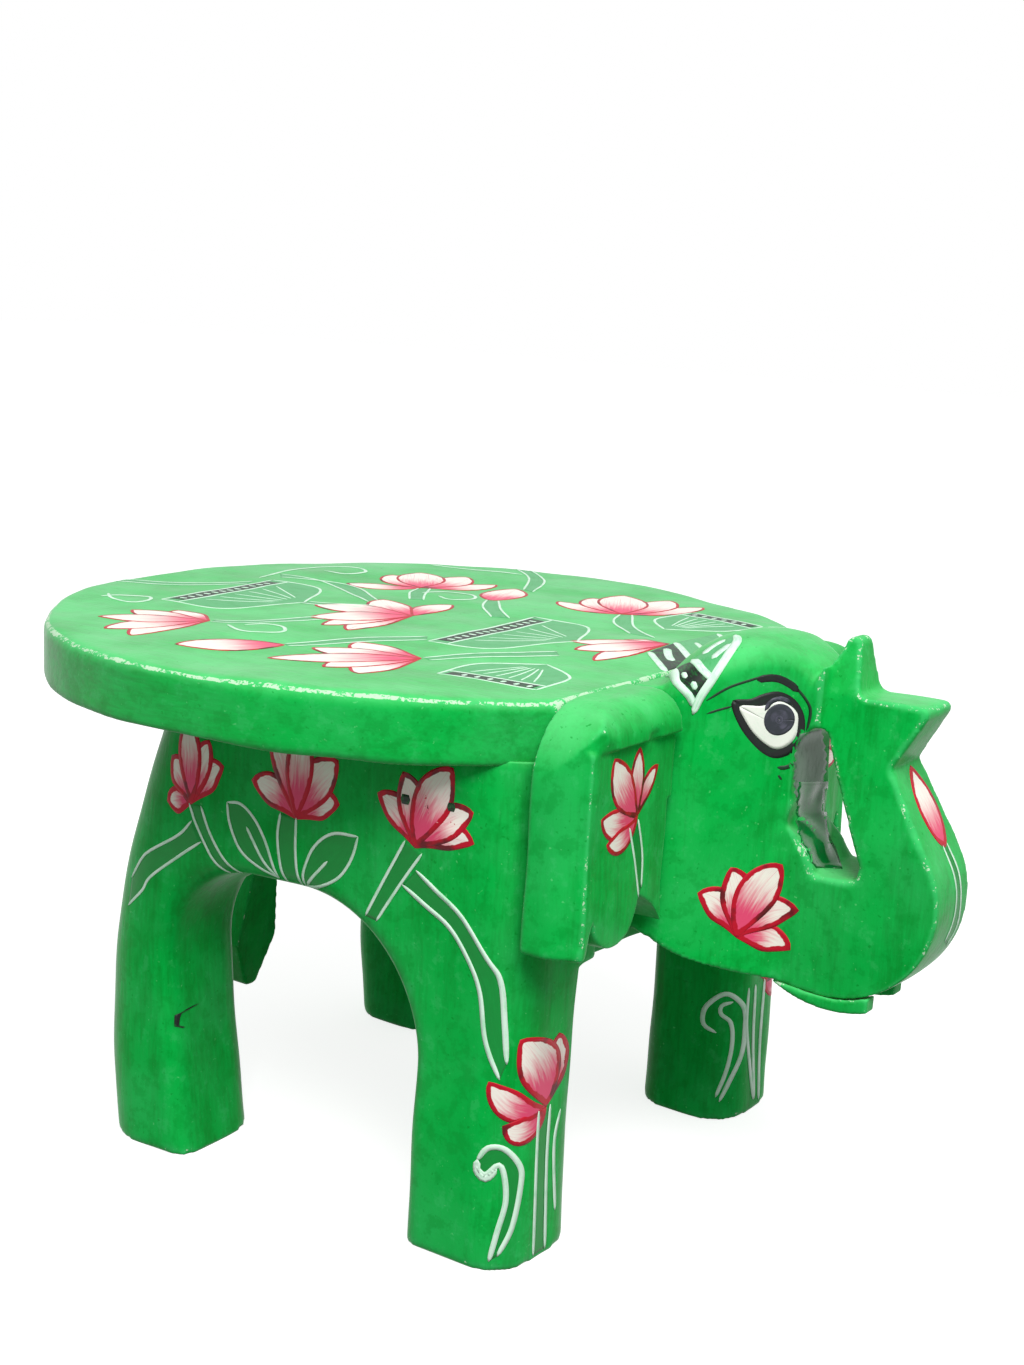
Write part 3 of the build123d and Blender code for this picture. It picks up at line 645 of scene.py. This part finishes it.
brush_green = (0.004, 0.33, 0.05, 1)
folk_paints = [
    petal_paint(),
    plain_paint("white_line", line_white, line_mint, 0.8),
    plain_paint("stem_green", stem_grey, brush_green, 0.35),
    plain_paint("pod_green", pod_grey, stem_grey, 0.35),
    plain_paint("pod_band", pod_black, stem_grey, 0.5),
]
seat_canvas = (np.array((1.0, 0, 0)), np.array((0, 1.0, 0)), np.array((0, 0, 1.0)))
seat_films = []
for base, petals in (
    ((-93, -70), [((-115, -64), 8, 2), ((-126, -78), 8, 2), ((-89, -117), 8, -3), ((-104, -115), 8, -2),
                  ((-123, -99), 8.5, 0)]),
    ((4, -67), [((-29, -62), 9, 4), ((7, -108), 8, -4), ((-34, -82), 8, 3), ((-9, -107), 8, -2),
                ((-32, -109), 8.5, 0)]),
    ((-48, -1), [((-51, 31), 7, 2), ((-77, 18), 9, 3), ((-46, -46), 7, -3), ((-59, -45), 7, -2),
                 ((-89, -12), 9, 1), ((-72, -36), 9, 0)]),
    ((-88, 60), [((-115, 42), 7, 3), ((-72, 95), 7, -3), ((-116, 77), 9, 2), ((-92, 100), 9, -2),
                 ((-112, 93), 11, 0)]),
    ((5, 72), [((-29, 77), 7, 3), ((20, 116), 7, -3), ((-23, 96), 9, 2), ((2, 120), 9, -2),
               ((-18, 114), 11, 0)]),
    ((52, 28), [((36, 21), 7, 3), ((50, -25), 6, -2), ((24, 1), 8, 2), ((35, -14), 8, 0)]),
):
    seat_films += lotus(base, petals)
seat_buds = (((-43, -86), (-66, -119), 9), ((-49, 56), (-60, 92), 10))
seat_films += [petal(base, tip, half_width, 0, 0.5) for base, tip, half_width in seat_buds]
seat_films += seed_pod((-134, -53), (-138, 20), (-96, -10))
seat_films += seed_pod((-12, -41), (-15, 37), (26, 3))
seat_films += seed_pod((62, -82), (24, -86), (42, -44), 7.0)
seat_films += seed_pod((24, 98), (60, 92), (34, 56), 7.0)
for left, right in (
    [((-93, -68), (-80, -58), (-71, -33)), ((-90, -73), (-76, -62), (-66, -35))],
    [((-44, -85), (-35, -60), (-18, -33)), ((-41, -87), (-30, -65), (-14, -39))],
    [((4, -66), (15, -46), (33, -23)), ((8, -68), (20, -50), (38, -29))],
    [((-77, 8), (-118, 34), (-146, 35)), ((-77, 14), (-110, 39), (-140, 28))],
    [((-88, 58), (-83, 45), (-71, 28)), ((-84, 61), (-74, 43), (-66, 31))],
    [((-51, 56), (-41, 38), (-26, 22)), ((-46, 57), (-32, 38), (-20, 26))],
    [((5, 71), (12, 54), (30, 36)), ((9, 74), (24, 50), (42, 34))],
    [((-96, -12), (-84, -10), (-70, -4)), ((-96, -7), (-82, -4), (-70, 2))],
    [((-179, -29), (-157, -12), (-142, 12)), ((-176, -35), (-153, -17), (-139, 5))],
    [((-91, 139), (-72, 121), (-56, 92)), ((-86, 143), (-63, 120), (-50, 90))],
):
    seat_films += stem(left, right, pod_film, 1.0)
for tendril in (
    ((-153, -67), (-151, -59), (-142, -52), (-136, -58), (-138, -66), (-148, -66), (-156, -60)),
    ((-81, -74), (-68, -81), (-60, -76), (-58, -69), (-64, -62), (-72, -63), (-76, -70)),
    ((-146, 21), (-150, 45), (-148, 66), (-136, 76), (-126, 70), (-128, 58), (-139, 57)),
    ((-79, 48), (-74, 59), (-63, 62), (-56, 53), (-60, 42), (-69, 46)),
    ((-123, 116), (-98, 121), (-79, 126)),
):
    seat_films.append(stroke(tendril, 1.5))

# One pod lies across the joint between seat and head: this is its half on the seat.
shared_rim = smooth_line([(56, 5.5), (63, -3.2), (69.5, -10.8), (76, -18.5)], 30)
shared_inner = smooth_line([(52.6, 31.7), (58.2, 24.9), (63.7, 18), (68.6, 12.1), (75, 4.5)], 30)
shared_side = smooth_line([(55, 62), (62, 54), (69, 46), (75, 38)], 30)
seat_films += [ruled(shared_rim, shared_inner, band_film, 6), ruled(shared_inner, shared_side, pod_film, 5)]
for line, width in (
    (shared_side, 2.2),
    ([(58, 38), (66, 29), (74, 20)], 2.2),
    ([(60, 50), (68, 38), (75, 28)], 1.8),
    (shared_rim, 2.8),
    (shared_inner, 3.0),
    ([(57, 17), (63, 7), (69, -1)], 3.2),
):
    seat_films.append(stroke(line, width))
painted_films("seat_painting", seat_films, seat_canvas, seat, folk_paints)

# ---------------- body planks
# Two thick planks stand on edge, each with a front and a rear leg cut on it, and a middle block joins
# them under the seat. The arch and the outer corners are rasped round before the first coat.

body_grid = 1.25 * mm
body_softening = 3
body_waver = 0.4 * mm
seat_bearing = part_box("side_panel_left")[1][2]
seat_lap = 3 * mm          # how far the coat of the planks reaches up into the joint with the seat
lap_start = 4 * mm         # below the bearing
level_x = (-0.054, -0.035, 0.0295, 0.0485)
level_z = 0.1605
level_radius = 7 * mm
level_film = 0.2 * mm
body_enamel = painted_wood("body_enamel", along=(1, 1, 0.12))


def over_nails(places, waves):
    """The coat is level along the row of nails: round each place the waves give way to a thin film."""
    level = np.zeros(len(places))
    for x in level_x:
        distance = np.hypot(places[:, 0] - x, places[:, 2] - level_z)
        level = np.maximum(level, np.exp(-((distance / level_radius) ** 4)))
    return waves * (1 - level) + level_film * level


def up_to_the_seat(places):
    """The top of the piece rises into the joint with the seat board, which leaves no line of light."""
    share = np.clip((places[:, 2] - seat_bearing + lap_start) / seat_lap, 0, 1)
    return places + np.column_stack([share * 0, share * 0, share * seat_lap])


planks = {}
for seed, (node, name, nails) in enumerate((
    ("side_panel_left", "side_plank_left", "side_nails_left"),
    ("side_panel_right", "side_plank_right", "side_nails_right"),
    ("belly_block", "belly_board", None),
), start=11):
    planks[name] = hand_finished(
        node, name, body_enamel, body_grid, body_softening, body_waver, seed, nails, up_to_the_seat,
        worn_below=seat_bearing
    )

# ---------------- painting on the body
# Three lotus flowers and two leaves along each side, whose stems run off into the arch and down the
# front leg, and on each front leg one more flower beside a curled shoot.

side_canvas = upright_canvas(0)
under_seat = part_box("side_panel_right")[1][2] / mm - 0.4
bold = {"fullness": 1.25, "outline": 1.8, "pallor": 0.0}     # fuller than the flowers on the seat
side_films = []
for left, right in (
    ([(-68.3, 140), (-64.9, 132.9), (-58.3, 123.4), (-50.4, 114)],
     [(-62.6, 140), (-57.2, 129.5), (-44.9, 115)]),
    ([(-66.8, 133.5), (-73.6, 126.6), (-87.7, 117.7), (-93, 113), (-99.3, 104)],
     [(-62.1, 126.5), (-72.1, 119.4), (-87.4, 107.6), (-92, 101), (-100.4, 92.9)]),
    ([(-26, 144.6), (-26.8, 134.8), (-23.5, 119)], [(-18.9, 144.1), (-18.6, 132.7), (-16.8, 119)]),
    ([(-50.3, 143.8), (-48.7, 136.1), (-43.5, 127.5), (-34.7, 122.5), (-26.8, 120.1)],
     [(-50.3, 143.8), (-44.1, 144.3), (-37.9, 140.3), (-32.7, 133.6), (-28.8, 125.7), (-26.8, 120.1)]),
):
    side_films += stem(left, right)
side_films += [stroke([(-41.1, 136.5), (-33.7, 126.6), (-27.6, 120.6)])]
side_films += stem([(-15.4, 119.4), (-14.5, 125.9), (-10.3, 135.4), (-2.4, 141.7), (8.6, 142.9)],
                   [(-15.4, 119.4), (-8.4, 121), (0.6, 126.3), (6, 134.1), (8.6, 142.9)])
side_films += [stroke([(-14.2, 120.2), (-4.2, 131.4)])]
side_films += stem([(28.8, 145.9), (20.7, 130.8), (12.6, 115.2)],
                   [(36.1, 142.8), (27.5, 130.3), (17.4, 114.4)])
side_films += stem(
    [(28.1, 130), (37.6, 125.2), (48.8, 119.5), (57, 110), (61.9, 100), (64.7, 83.5), (70, 70)],
    [(33.7, 136.3), (41.6, 131.6), (53.8, 124.3), (64.6, 111.7), (68.7, 105), (70.4, 90), (71.7, 75.7)],
    width=1.7)
for base, petals in (
    ((-67.5, 139.5), [((-79.5, 138.5), 4.2, -1), ((-78, 156), 5, -2), ((-52.5, 156.5), 5.2, 3),
                      ((-59.5, 165), 4.6, 1), ((-71, 173), 4.6, -1)]),
    ((-19, 143.5), [((-39.5, 154), 5, -3), ((0, 152.5), 5, 3), ((-1.5, 168), 6, 2),
                    ((-31.5, 176), 5, -2), ((-17.5, 178), 5, 0)]),
    ((33, 144), [((16, 160), 4.6, -3), ((57, 150.5), 4.4, 4), ((56, 161), 5, 2),
                 ((26.5, 169.5), 5.4, -2), ((47, 174.5), 6.2, 2)]),
):
    side_films += lotus(base, petals, **bold)

# Dark filler over the two front nails, and a chip on the rear leg.
for nail_x, nail_z, radius in ((27.9, 160, 1.9), (46.7, 161, 1.6)):
    filler_line = [(nail_x - radius, nail_z), (nail_x + radius, nail_z)]
    side_films += [stroke(filler_line, radius * 1.8, band_film, 9, 8)]
side_films += [stroke([(-76.6, 55.5), (-76.3, 52), (-75.8, 48.8)], 2.6, band_film, 14)]

leg_canvas = upright_canvas(36.87)
leg_films = stem([(8.6, 56), (8.9, 34.2), (9.9, 1.5)], [(13, 56), (12.9, 35.7), (14.4, 1.5)])
leg_films += [stroke([(17.2, 52), (15.5, 39.6), (17.6, 14)])]
leg_films += stem(
    [(-6.1, 3.8), (-3.8, 14.8), (-1.5, 25.6), (-2.4, 34.9), (-4.6, 39.4), (-9, 35.5), (-12, 38)],
    [(-3.3, 5.8), (1.2, 15.9), (3.4, 30.2), (2.9, 38), (-2.6, 44.9), (-8.4, 45.4), (-12, 40.2)],
    width=2.0)
leg_films += [stroke([(-11.8, 40.6), (-11.6, 36), (-8.6, 34), (-5.2, 38)], 2.4)]
leg_lotus = lotus((11.5, 56), [
    ((18.4, 72), 3.2, 1), ((14.8, 81.5), 4.2, -1), ((-9.6, 69), 4.6, 3), ((0.2, 84.2), 6.4, -3),
    ((-4.2, 53.5), 4.4, 4)], fullness=1.2, outline=1.6, pallor=0.0)

left_leg_canvas = upright_canvas(27)
left_leg_films = [stroke(line, width) for line, width in (
    ([(89.2, 37.5), (83.6, 40.9), (84.4, 48.4), (91.9, 54.5), (99.3, 48.5), (100.7, 37.5), (100, 27),
      (95.9, 16.2), (92.5, 8)], 2.0),
    ([(95, 51), (90.6, 49.4), (90.4, 45.8), (94.6, 42), (95.9, 33.2), (94.5, 21.7), (90.9, 10)], 1.7),
    ([(100.9, 56), (101.3, 39.5), (104.4, 18.2), (106.8, 4)], 1.1),
    ([(103.6, 56), (104.6, 31), (107.1, 4)], 1.1),
    ([(107.4, 56), (107.6, 29), (109.2, 2.2)], 1.1),
)]

for side in ("right", "left"):
    plank = planks[f"side_plank_{side}"]
    mirrored = side == "left"
    painted_films(
        f"side_painting_{side}", side_films, side_canvas, plank, folk_paints, mirrored, under_seat
    )
    films = leg_lotus if mirrored else leg_films + leg_lotus
    painted_films(f"leg_painting_{side}", films, leg_canvas, plank, folk_paints, mirrored)
painted_films("leg_shoot_left", left_leg_films, left_leg_canvas, planks["side_plank_left"], folk_paints)

# ---------------- head and trunk
# One block of wood, sawn to its side view and to its plan, then slimmed up the trunk with gouge and
# rasp. It is pegged to the chest, with an ear on each side of it.

head_grid = 0.9 * mm
head_softening = 4
head_waver = 0.35 * mm
gouge_middle = (132 * mm, 0, 148 * mm)
gouge_reach = (11 * mm, 19 * mm, 15 * mm)
gouge_depth = 1.6 * mm
gouge_drag = 0.6 * mm


def gouged_face(places):
    """Between the cheeks and the trunk the face is left as the gouge leaves it: rows of hollows 1 to 2 mm
    deep over its lower half, as a product of two waves that bend each other, which fades out above the
    eyes and towards the jaw."""
    x, y, z = ((places - gouge_middle) / gouge_reach).T
    near = np.exp(-(x**4) - z**4 - y**6)
    across, up = places[:, 1] / mm, places[:, 2] / mm
    rows = np.sin(0.31 * up + 1.4 * np.sin(0.19 * across + 1)) * np.cos(0.23 * across + np.sin(0.37 * up))
    return places + np.column_stack([gouge_depth * near * rows, 0 * rows, gouge_drag * near * rows])


head = hand_finished(
    "head_trunk", "head", body_enamel, head_grid, head_softening, head_waver, 21, carve=gouged_face
)

# ---------------- painting on the head
# On each cheek a lotus, on each temple a seed pod with a black band, and the eyes: an almond outline in
# black, a white ball and a grey pupil under a drawn brow. A long bud climbs the front of the trunk.

eye_black = (0.010, 0.012, 0.012, 1)
eye_white = (0.88, 0.91, 0.82, 1)
pupil_grey = (0.035, 0.040, 0.050, 1)
pupil_violet = (0.16, 0.15, 0.22, 1)
brow_green = (0.006, 0.045, 0.016, 1)


def blob(outline, paint, layer, rings=9, count=48):
    """A closed shape: from its middle, straight out to a smooth closed line."""
    edge = smooth_line(outline, count + 1, closed=True)
    share = np.linspace(0.02, 1, rings)[:, None, None]
    middle = edge[:-1].mean(axis=0)
    grid = middle + (edge - middle) * share
    along = np.repeat(share[:, :, 0], count + 1, axis=1)
    return {"grid": grid, "depth": depth_inside(grid, edge[:-1]), "along": along, "side": along * 0,
            "paint": paint, "layer": layer}


eye_line_film, eyeball_film, pupil_film, brow_film = range(5, 9)     # places in head_paints
head_paints = folk_paints + [
    plain_paint("eye_outline", eye_black, brow_green, 0.3),
    plain_paint("eyeball", eye_white, line_mint, 0.15),
    plain_paint("pupil", pupil_grey, pupil_violet, 0.5),
    plain_paint("brow_line", brow_green, eye_black, 0.6),
]
eye_outline = [
    (52.9, 197), (59, 197.6), (63.5, 199.4), (68.9, 200.3), (74.4, 198.2), (77.8, 194), (79, 188.9),
    (78.6, 182.3), (75.5, 178.4), (70.1, 176.6), (64.2, 179.2), (57.5, 185.8), (53.3, 193)]
eyeball = [
    (55.4, 194.8), (59.1, 195.3), (63.4, 195.2), (70, 196.8), (75.9, 193.5), (76.8, 188), (76.2, 184),
    (73.7, 181), (70.3, 179.9), (66.4, 181.4), (61.4, 185.4), (57.6, 190.4)]
pupil_place = np.array((70.1, 190.4))
pupil_radius = 5.6
around = np.linspace(0, 2 * np.pi, 12, endpoint=False)
pupil = pupil_place + pupil_radius * np.column_stack([np.cos(around), np.sin(around)])
cheek_canvas = upright_canvas(46)
cheek_films = [blob(eye_outline, eye_line_film, 0), blob(eyeball, eyeball_film, 2)]
cheek_films += [blob(pupil, pupil_film, 4)]
cheek_films += [stroke(*line) for line in (
    ([(64.6, 193.6), (66.5, 196.6), (70, 197.8), (74, 196.4)], 1.7, pupil_film, 5),
    ([(43.6, 196.6), (51, 201.3), (58.4, 204), (63, 205.2), (68.4, 205), (73.9, 202.6), (77.7, 199),
      (80, 194.5), (79.6, 187)], 0.9, brow_film, 0),
    ([(61, 204.2), (65, 204.9), (69, 204.6), (73.5, 202.6), (76, 200.4)], 2.6, eye_line_film, 1),
    ([(53, 194.9), (48, 193.4), (44.1, 192)], 0.8, brow_film, 0),
    ([(71, 173.4), (74.2, 173.4), (77.2, 175.4)], 1.5, brow_film, 0),
    ([(71.6, 170.6), (73, 169)], 0.8, brow_film, 0),
)]
cheek_films += lotus((61.5, 111.5), [
    ((46, 128), 4.8, -3.5), ((80.5, 108), 4.2, 2), ((81.8, 123), 5, 3), ((57.6, 137.2), 5.4, -2),
    ((75.8, 138.6), 6.2, 2)], **bold)

temple_canvas = upright_canvas(40, 35)
pod_rim = smooth_line(
    [(46.2, 124.8), (45, 118), (44.3, 112.7), (46.5, 108.9), (48.5, 106.6), (50.2, 103.6)], 36)
pod_inner = smooth_line([(51, 122.3), (52.1, 116.7), (53.8, 113.9), (55.6, 111.8)], 36)
pod_side = smooth_line([
    (67.8, 133.6), (66.6, 128.4), (62.7, 122.3), (58.6, 116.1), (55.1, 110.9), (51.8, 106.2),
    (49.8, 101.6)], 60)
temple_films = [ruled(pod_inner, pod_side[:36], pod_film, 0)]
temple_films += [ruled(pod_rim[4:], pod_inner[4:], band_film, 1)]
temple_films += [stroke(line, width, layer=layer) for line, width, layer in (
    (pod_rim, 2.4, line_layer),
    (pod_inner, 2.6, 9),
    (pod_side, 2.8, 10),
    ([(54.4, 123.4), (58.3, 127.1), (63.4, 130.6)], 1.8, line_layer),
    ([(56.1, 119.6), (60.4, 123.6), (64.2, 126.8)], 1.8, line_layer),
    ([(49.2, 111.4), (50.2, 108.6)], 1.9, line_layer),
    ([(46.8, 116), (47.2, 113)], 1.6, line_layer),
)]
for side in ("right", "left"):
    mirrored = side == "left"
    painted_films(f"cheek_painting_{side}", cheek_films, cheek_canvas, head, head_paints, mirrored)
    painted_films(f"temple_painting_{side}", temple_films, temple_canvas, head, head_paints, mirrored)

front_canvas = upright_canvas(90)
trunk_films = stem([(1, 152), (1.8, 143), (2.6, 135), (3.6, 126), (2.6, 118)],
                   [(5, 152), (6.4, 143), (7.4, 134), (10, 122), (8, 115)])
trunk_films += [petal((3.2, 151), (2.4, 177.4), 8.0, 0.6, 0.45, outline=1.9)]
painted_films("trunk_painting", trunk_films, front_canvas, head, folk_paints)

# In the crook between face and trunk a grey patch is painted, and below it a sheet of dark green as painted
# shadow.
patch_grey = (0.14, 0.23, 0.16, 1)
patch_dark = (0.030, 0.11, 0.05, 1)
face_shadow_green = (0.003, 0.16, 0.030, 1)
grey_patch_film, face_shadow_film = range(2)
face_canvas = upright_canvas(24, 13.6)
ragged = 0.45 * np.sin(np.arange(24) * 2.3)[:, None] * np.array((1.0, 0.3))
grey_patch_edges = (smooth_line([(111, 164.5), (109.9, 154), (111.4, 142.5)], 24) + ragged,
              smooth_line([(118.5, 167), (121.3, 155), (118.6, 141)], 24) - ragged)
# The lower sheet is painted shadow: glossy dark green laid over the lower face.
face_shadow_edges = (smooth_line([(112, 148), (112.6, 134), (116, 125), (120.5, 118.6)], 24) + ragged,
                smooth_line([(122.5, 149), (123.5, 133), (127.5, 125), (130, 119)], 24))
face_films = [ruled(*grey_patch_edges, grey_patch_film, 1), ruled(*face_shadow_edges, face_shadow_film, 4)]
painted_films("face_patch", face_films, face_canvas, head, [
    plain_paint("grey_face_patch", patch_grey, patch_dark, 0.6),
    plain_paint("face_shadow_paint", face_shadow_green, patch_dark, 0.5, roughness=0.16, specular=0.5),
])

# ---------------- ears
# Flat blades with a rolled hood along the top and three lobes below, pegged to the front of the planks.
# Filler under the enamel has all but closed the grooves that the gouge left in their fronts.

ear_grid = 0.8 * mm
ear_softening = 3
ear_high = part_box("ear_left")[1]
hood_proud = 2.5 * mm
edge_inset = 4.5 * mm      # from the outer edge to the crease where its rounding begins
hood_height = 13 * mm
groove_depth = 4.6 * mm
groove_fill = 0.86         # the share of a groove's depth that the filler takes up


def filled_grooves(places):
    """Places sunk below the flat front, under the hood and clear of the outer edge, come forward."""
    front = ear_high[0] - hood_proud
    sunk = (places[:, 0] > front - groove_depth) & (places[:, 0] < front)
    sunk &= (np.abs(places[:, 1]) < ear_high[1] - edge_inset) & (places[:, 2] < ear_high[2] - hood_height)
    forward = np.where(sunk, groove_fill * (front - places[:, 0]), 0)
    return places + np.column_stack([forward, forward * 0, forward * 0])


ears = {}
for seed, side in enumerate(("left", "right"), start=31):
    ears[side] = hand_finished(
        f"ear_{side}", f"ear_blade_{side}", body_enamel, ear_grid, ear_softening, head_waver, seed,
        carve=filled_grooves
    )

# ---------------- painting on the ears
# One small lotus on the front of each ear, with its two stem lines running down to the notch between
# two lobes.

ear_films = stem([(-76.3, 158), (-70.7, 143.5), (-66.5, 131.8)],
                 [(-71.2, 160), (-66.3, 147), (-65.2, 135.1)])
ear_films += lotus((-71.5, 161.4), [
    ((-59.4, 176.8), 3, 1.5), ((-72.5, 185), 3.6, 1), ((-95, 164.5), 4.4, 2.5), ((-90.5, 155), 3.6, 3.5),
    ((-88.9, 183.8), 5.4, 1.5)], fullness=1.25, outline=1.4, pallor=0.0)
for side in ("right", "left"):
    painted_films(
        f"ear_painting_{side}", ear_films, front_canvas, ears[side], folk_paints, mirrored=side == "left"
    )

# ---------------- tusks and tail
# Small bowed strips under the jaw and a flat tail that lies on the rump and hangs free below it, each
# held by hidden pegs.

trim_grid = 0.7 * mm
trim_softening = 3
trim_waver = 0.15 * mm
for seed, node in enumerate(("tusk_left", "tusk_right", "tail"), start=41):
    hand_finished(node, node + "_strip", body_enamel, trim_grid, trim_softening, trim_waver, seed)

# ---------------- dowels, pegs and nails
# Beech dowels and pegs are glued in blind holes and stay bare. The nails are flat-headed steel gone
# brown, driven flush through the side planks and painted over.

beech = (0.55, 0.36, 0.19, 1)
beech_grain = (0.36, 0.20, 0.09, 1)
nail_brown = (0.045, 0.032, 0.022, 1)
nail_bright = (0.22, 0.20, 0.18, 1)


def bare_dowel():
    """Beech: short dark flecks along a fine straight grain."""
    material, tree, shader = new_material("bare_dowel")
    grain = noise_node(tree, object_place(tree), 300, 4, 0.6, stretch=(1, 1, 0.1))
    fleck = range_node(tree, grain, 0.35, 0.7)
    feed(tree, shader, {
        "Base Color": mix_node(tree, fleck, beech, beech_grain),
        "Roughness": range_node(tree, grain, 0.3, 0.7, 0.5, 0.7),
    })
    return material


def rusted_nail():
    """Steel gone brown, with brighter spots where it has been rubbed."""
    material, tree, shader = new_material("rusted_nail")
    rust = range_node(tree, noise_node(tree, object_place(tree), 1400, 3, 0.6), 0.4, 0.65)
    feed(tree, shader, {
        "Base Color": mix_node(tree, rust, nail_bright, nail_brown),
        "Metallic": math_node(tree, "SUBTRACT", 0.8, rust),
        "Roughness": range_node(tree, rust, 0, 1, 0.4, 0.85),
    })
    return material


for material, nodes in (
    (bare_dowel(), ("seat_dowels", "body_dowels", "head_dowels", "ear_dowels", "tusk_pegs", "tail_pegs")),
    (rusted_nail(), ("side_nails_left", "side_nails_right")),
):
    for node in nodes:
        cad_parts[node].data.materials.clear()
        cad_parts[node].data.materials.append(material)

# ---------------- studio
# A plain white floor with a soft shadow, an even sky, and one large soft lamp above and in front. The
# floor and the sky are white for whoever looks at them, and throw less light on the stool.

floor_reach = 6.0
floor_bounce = (0.20, 0.20, 0.20, 1)
floor_white = (0.5, 0.5, 0.5, 1)
floor_glow = 0.8
sky_level = 0.50
lamp_place = (0.75, -0.85, 1.55)
lamp_size = 0.9
lamp_power = 32.5
lamp_aim = (0, 0, 0.12)
camera_place = (0.40711, -0.63654, 0.33694)
camera_turn = (78.289, -3.252, 33.298)
camera_lens = 52.75


def seen_directly(tree):
    """1 for camera, glossy and transmission rays, which see the background itself."""
    rays = new_node(tree, "LightPath")
    seen = math_node(tree, "MAXIMUM", rays.outputs["Is Camera Ray"], rays.outputs["Is Glossy Ray"])
    return math_node(tree, "MAXIMUM", seen, rays.outputs["Is Transmission Ray"])


floor_mesh = bpy.data.meshes.new("floor")
corners = [(-floor_reach, -floor_reach, 0), (floor_reach, -floor_reach, 0)]
corners += [(floor_reach, floor_reach, 0), (-floor_reach, floor_reach, 0)]
floor_mesh.from_pydata(corners, [], [(0, 1, 2, 3)])
floor = add_object("floor", floor_mesh)
floor_paper = bpy.data.materials.new("floor_paper")
floor_paper.use_nodes = True
tree = floor_paper.node_tree
tree.nodes.clear()
seen = seen_directly(tree)
matt = new_node(tree, "BsdfDiffuse", {"Color": mix_node(tree, seen, floor_bounce, floor_white)})
glow = new_node(tree, "Emission", {"Strength": math_node(tree, "MULTIPLY", seen, floor_glow)})
both = new_node(tree, "AddShader", {0: matt.outputs[0], 1: glow.outputs[0]})
new_node(tree, "OutputMaterial", {"Surface": both.outputs[0]})
floor_mesh.materials.append(floor_paper)

world = bpy.data.worlds.new("even_sky")
bpy.context.scene.world = world
world.use_nodes = True
tree = world.node_tree
sky = tree.nodes["Background"]
level = math_node(tree, "MULTIPLY_ADD", seen_directly(tree), 1 - sky_level, sky_level)
feed(tree, sky, {"Color": (1, 1, 1, 1), "Strength": level})

lamp_data = bpy.data.lights.new("soft_lamp", "AREA")
lamp_data.shape = "SQUARE"
lamp_data.size = lamp_size
lamp_data.energy = lamp_power
lamp = add_object("soft_lamp", lamp_data)
lamp.location = lamp_place
lamp.rotation_mode = "QUATERNION"
lamp.rotation_quaternion = (Vector(lamp_aim) - Vector(lamp_place)).to_track_quat("-Z", "Y")

camera_data = bpy.data.cameras.new("camera")
camera_data.lens = camera_lens
camera_data.clip_start = 0.05
camera = add_object("camera", camera_data)
camera.location = camera_place
camera.rotation_euler = np.radians(camera_turn)
bpy.context.scene.camera = camera
bpy.context.scene.view_settings.view_transform = "Standard"
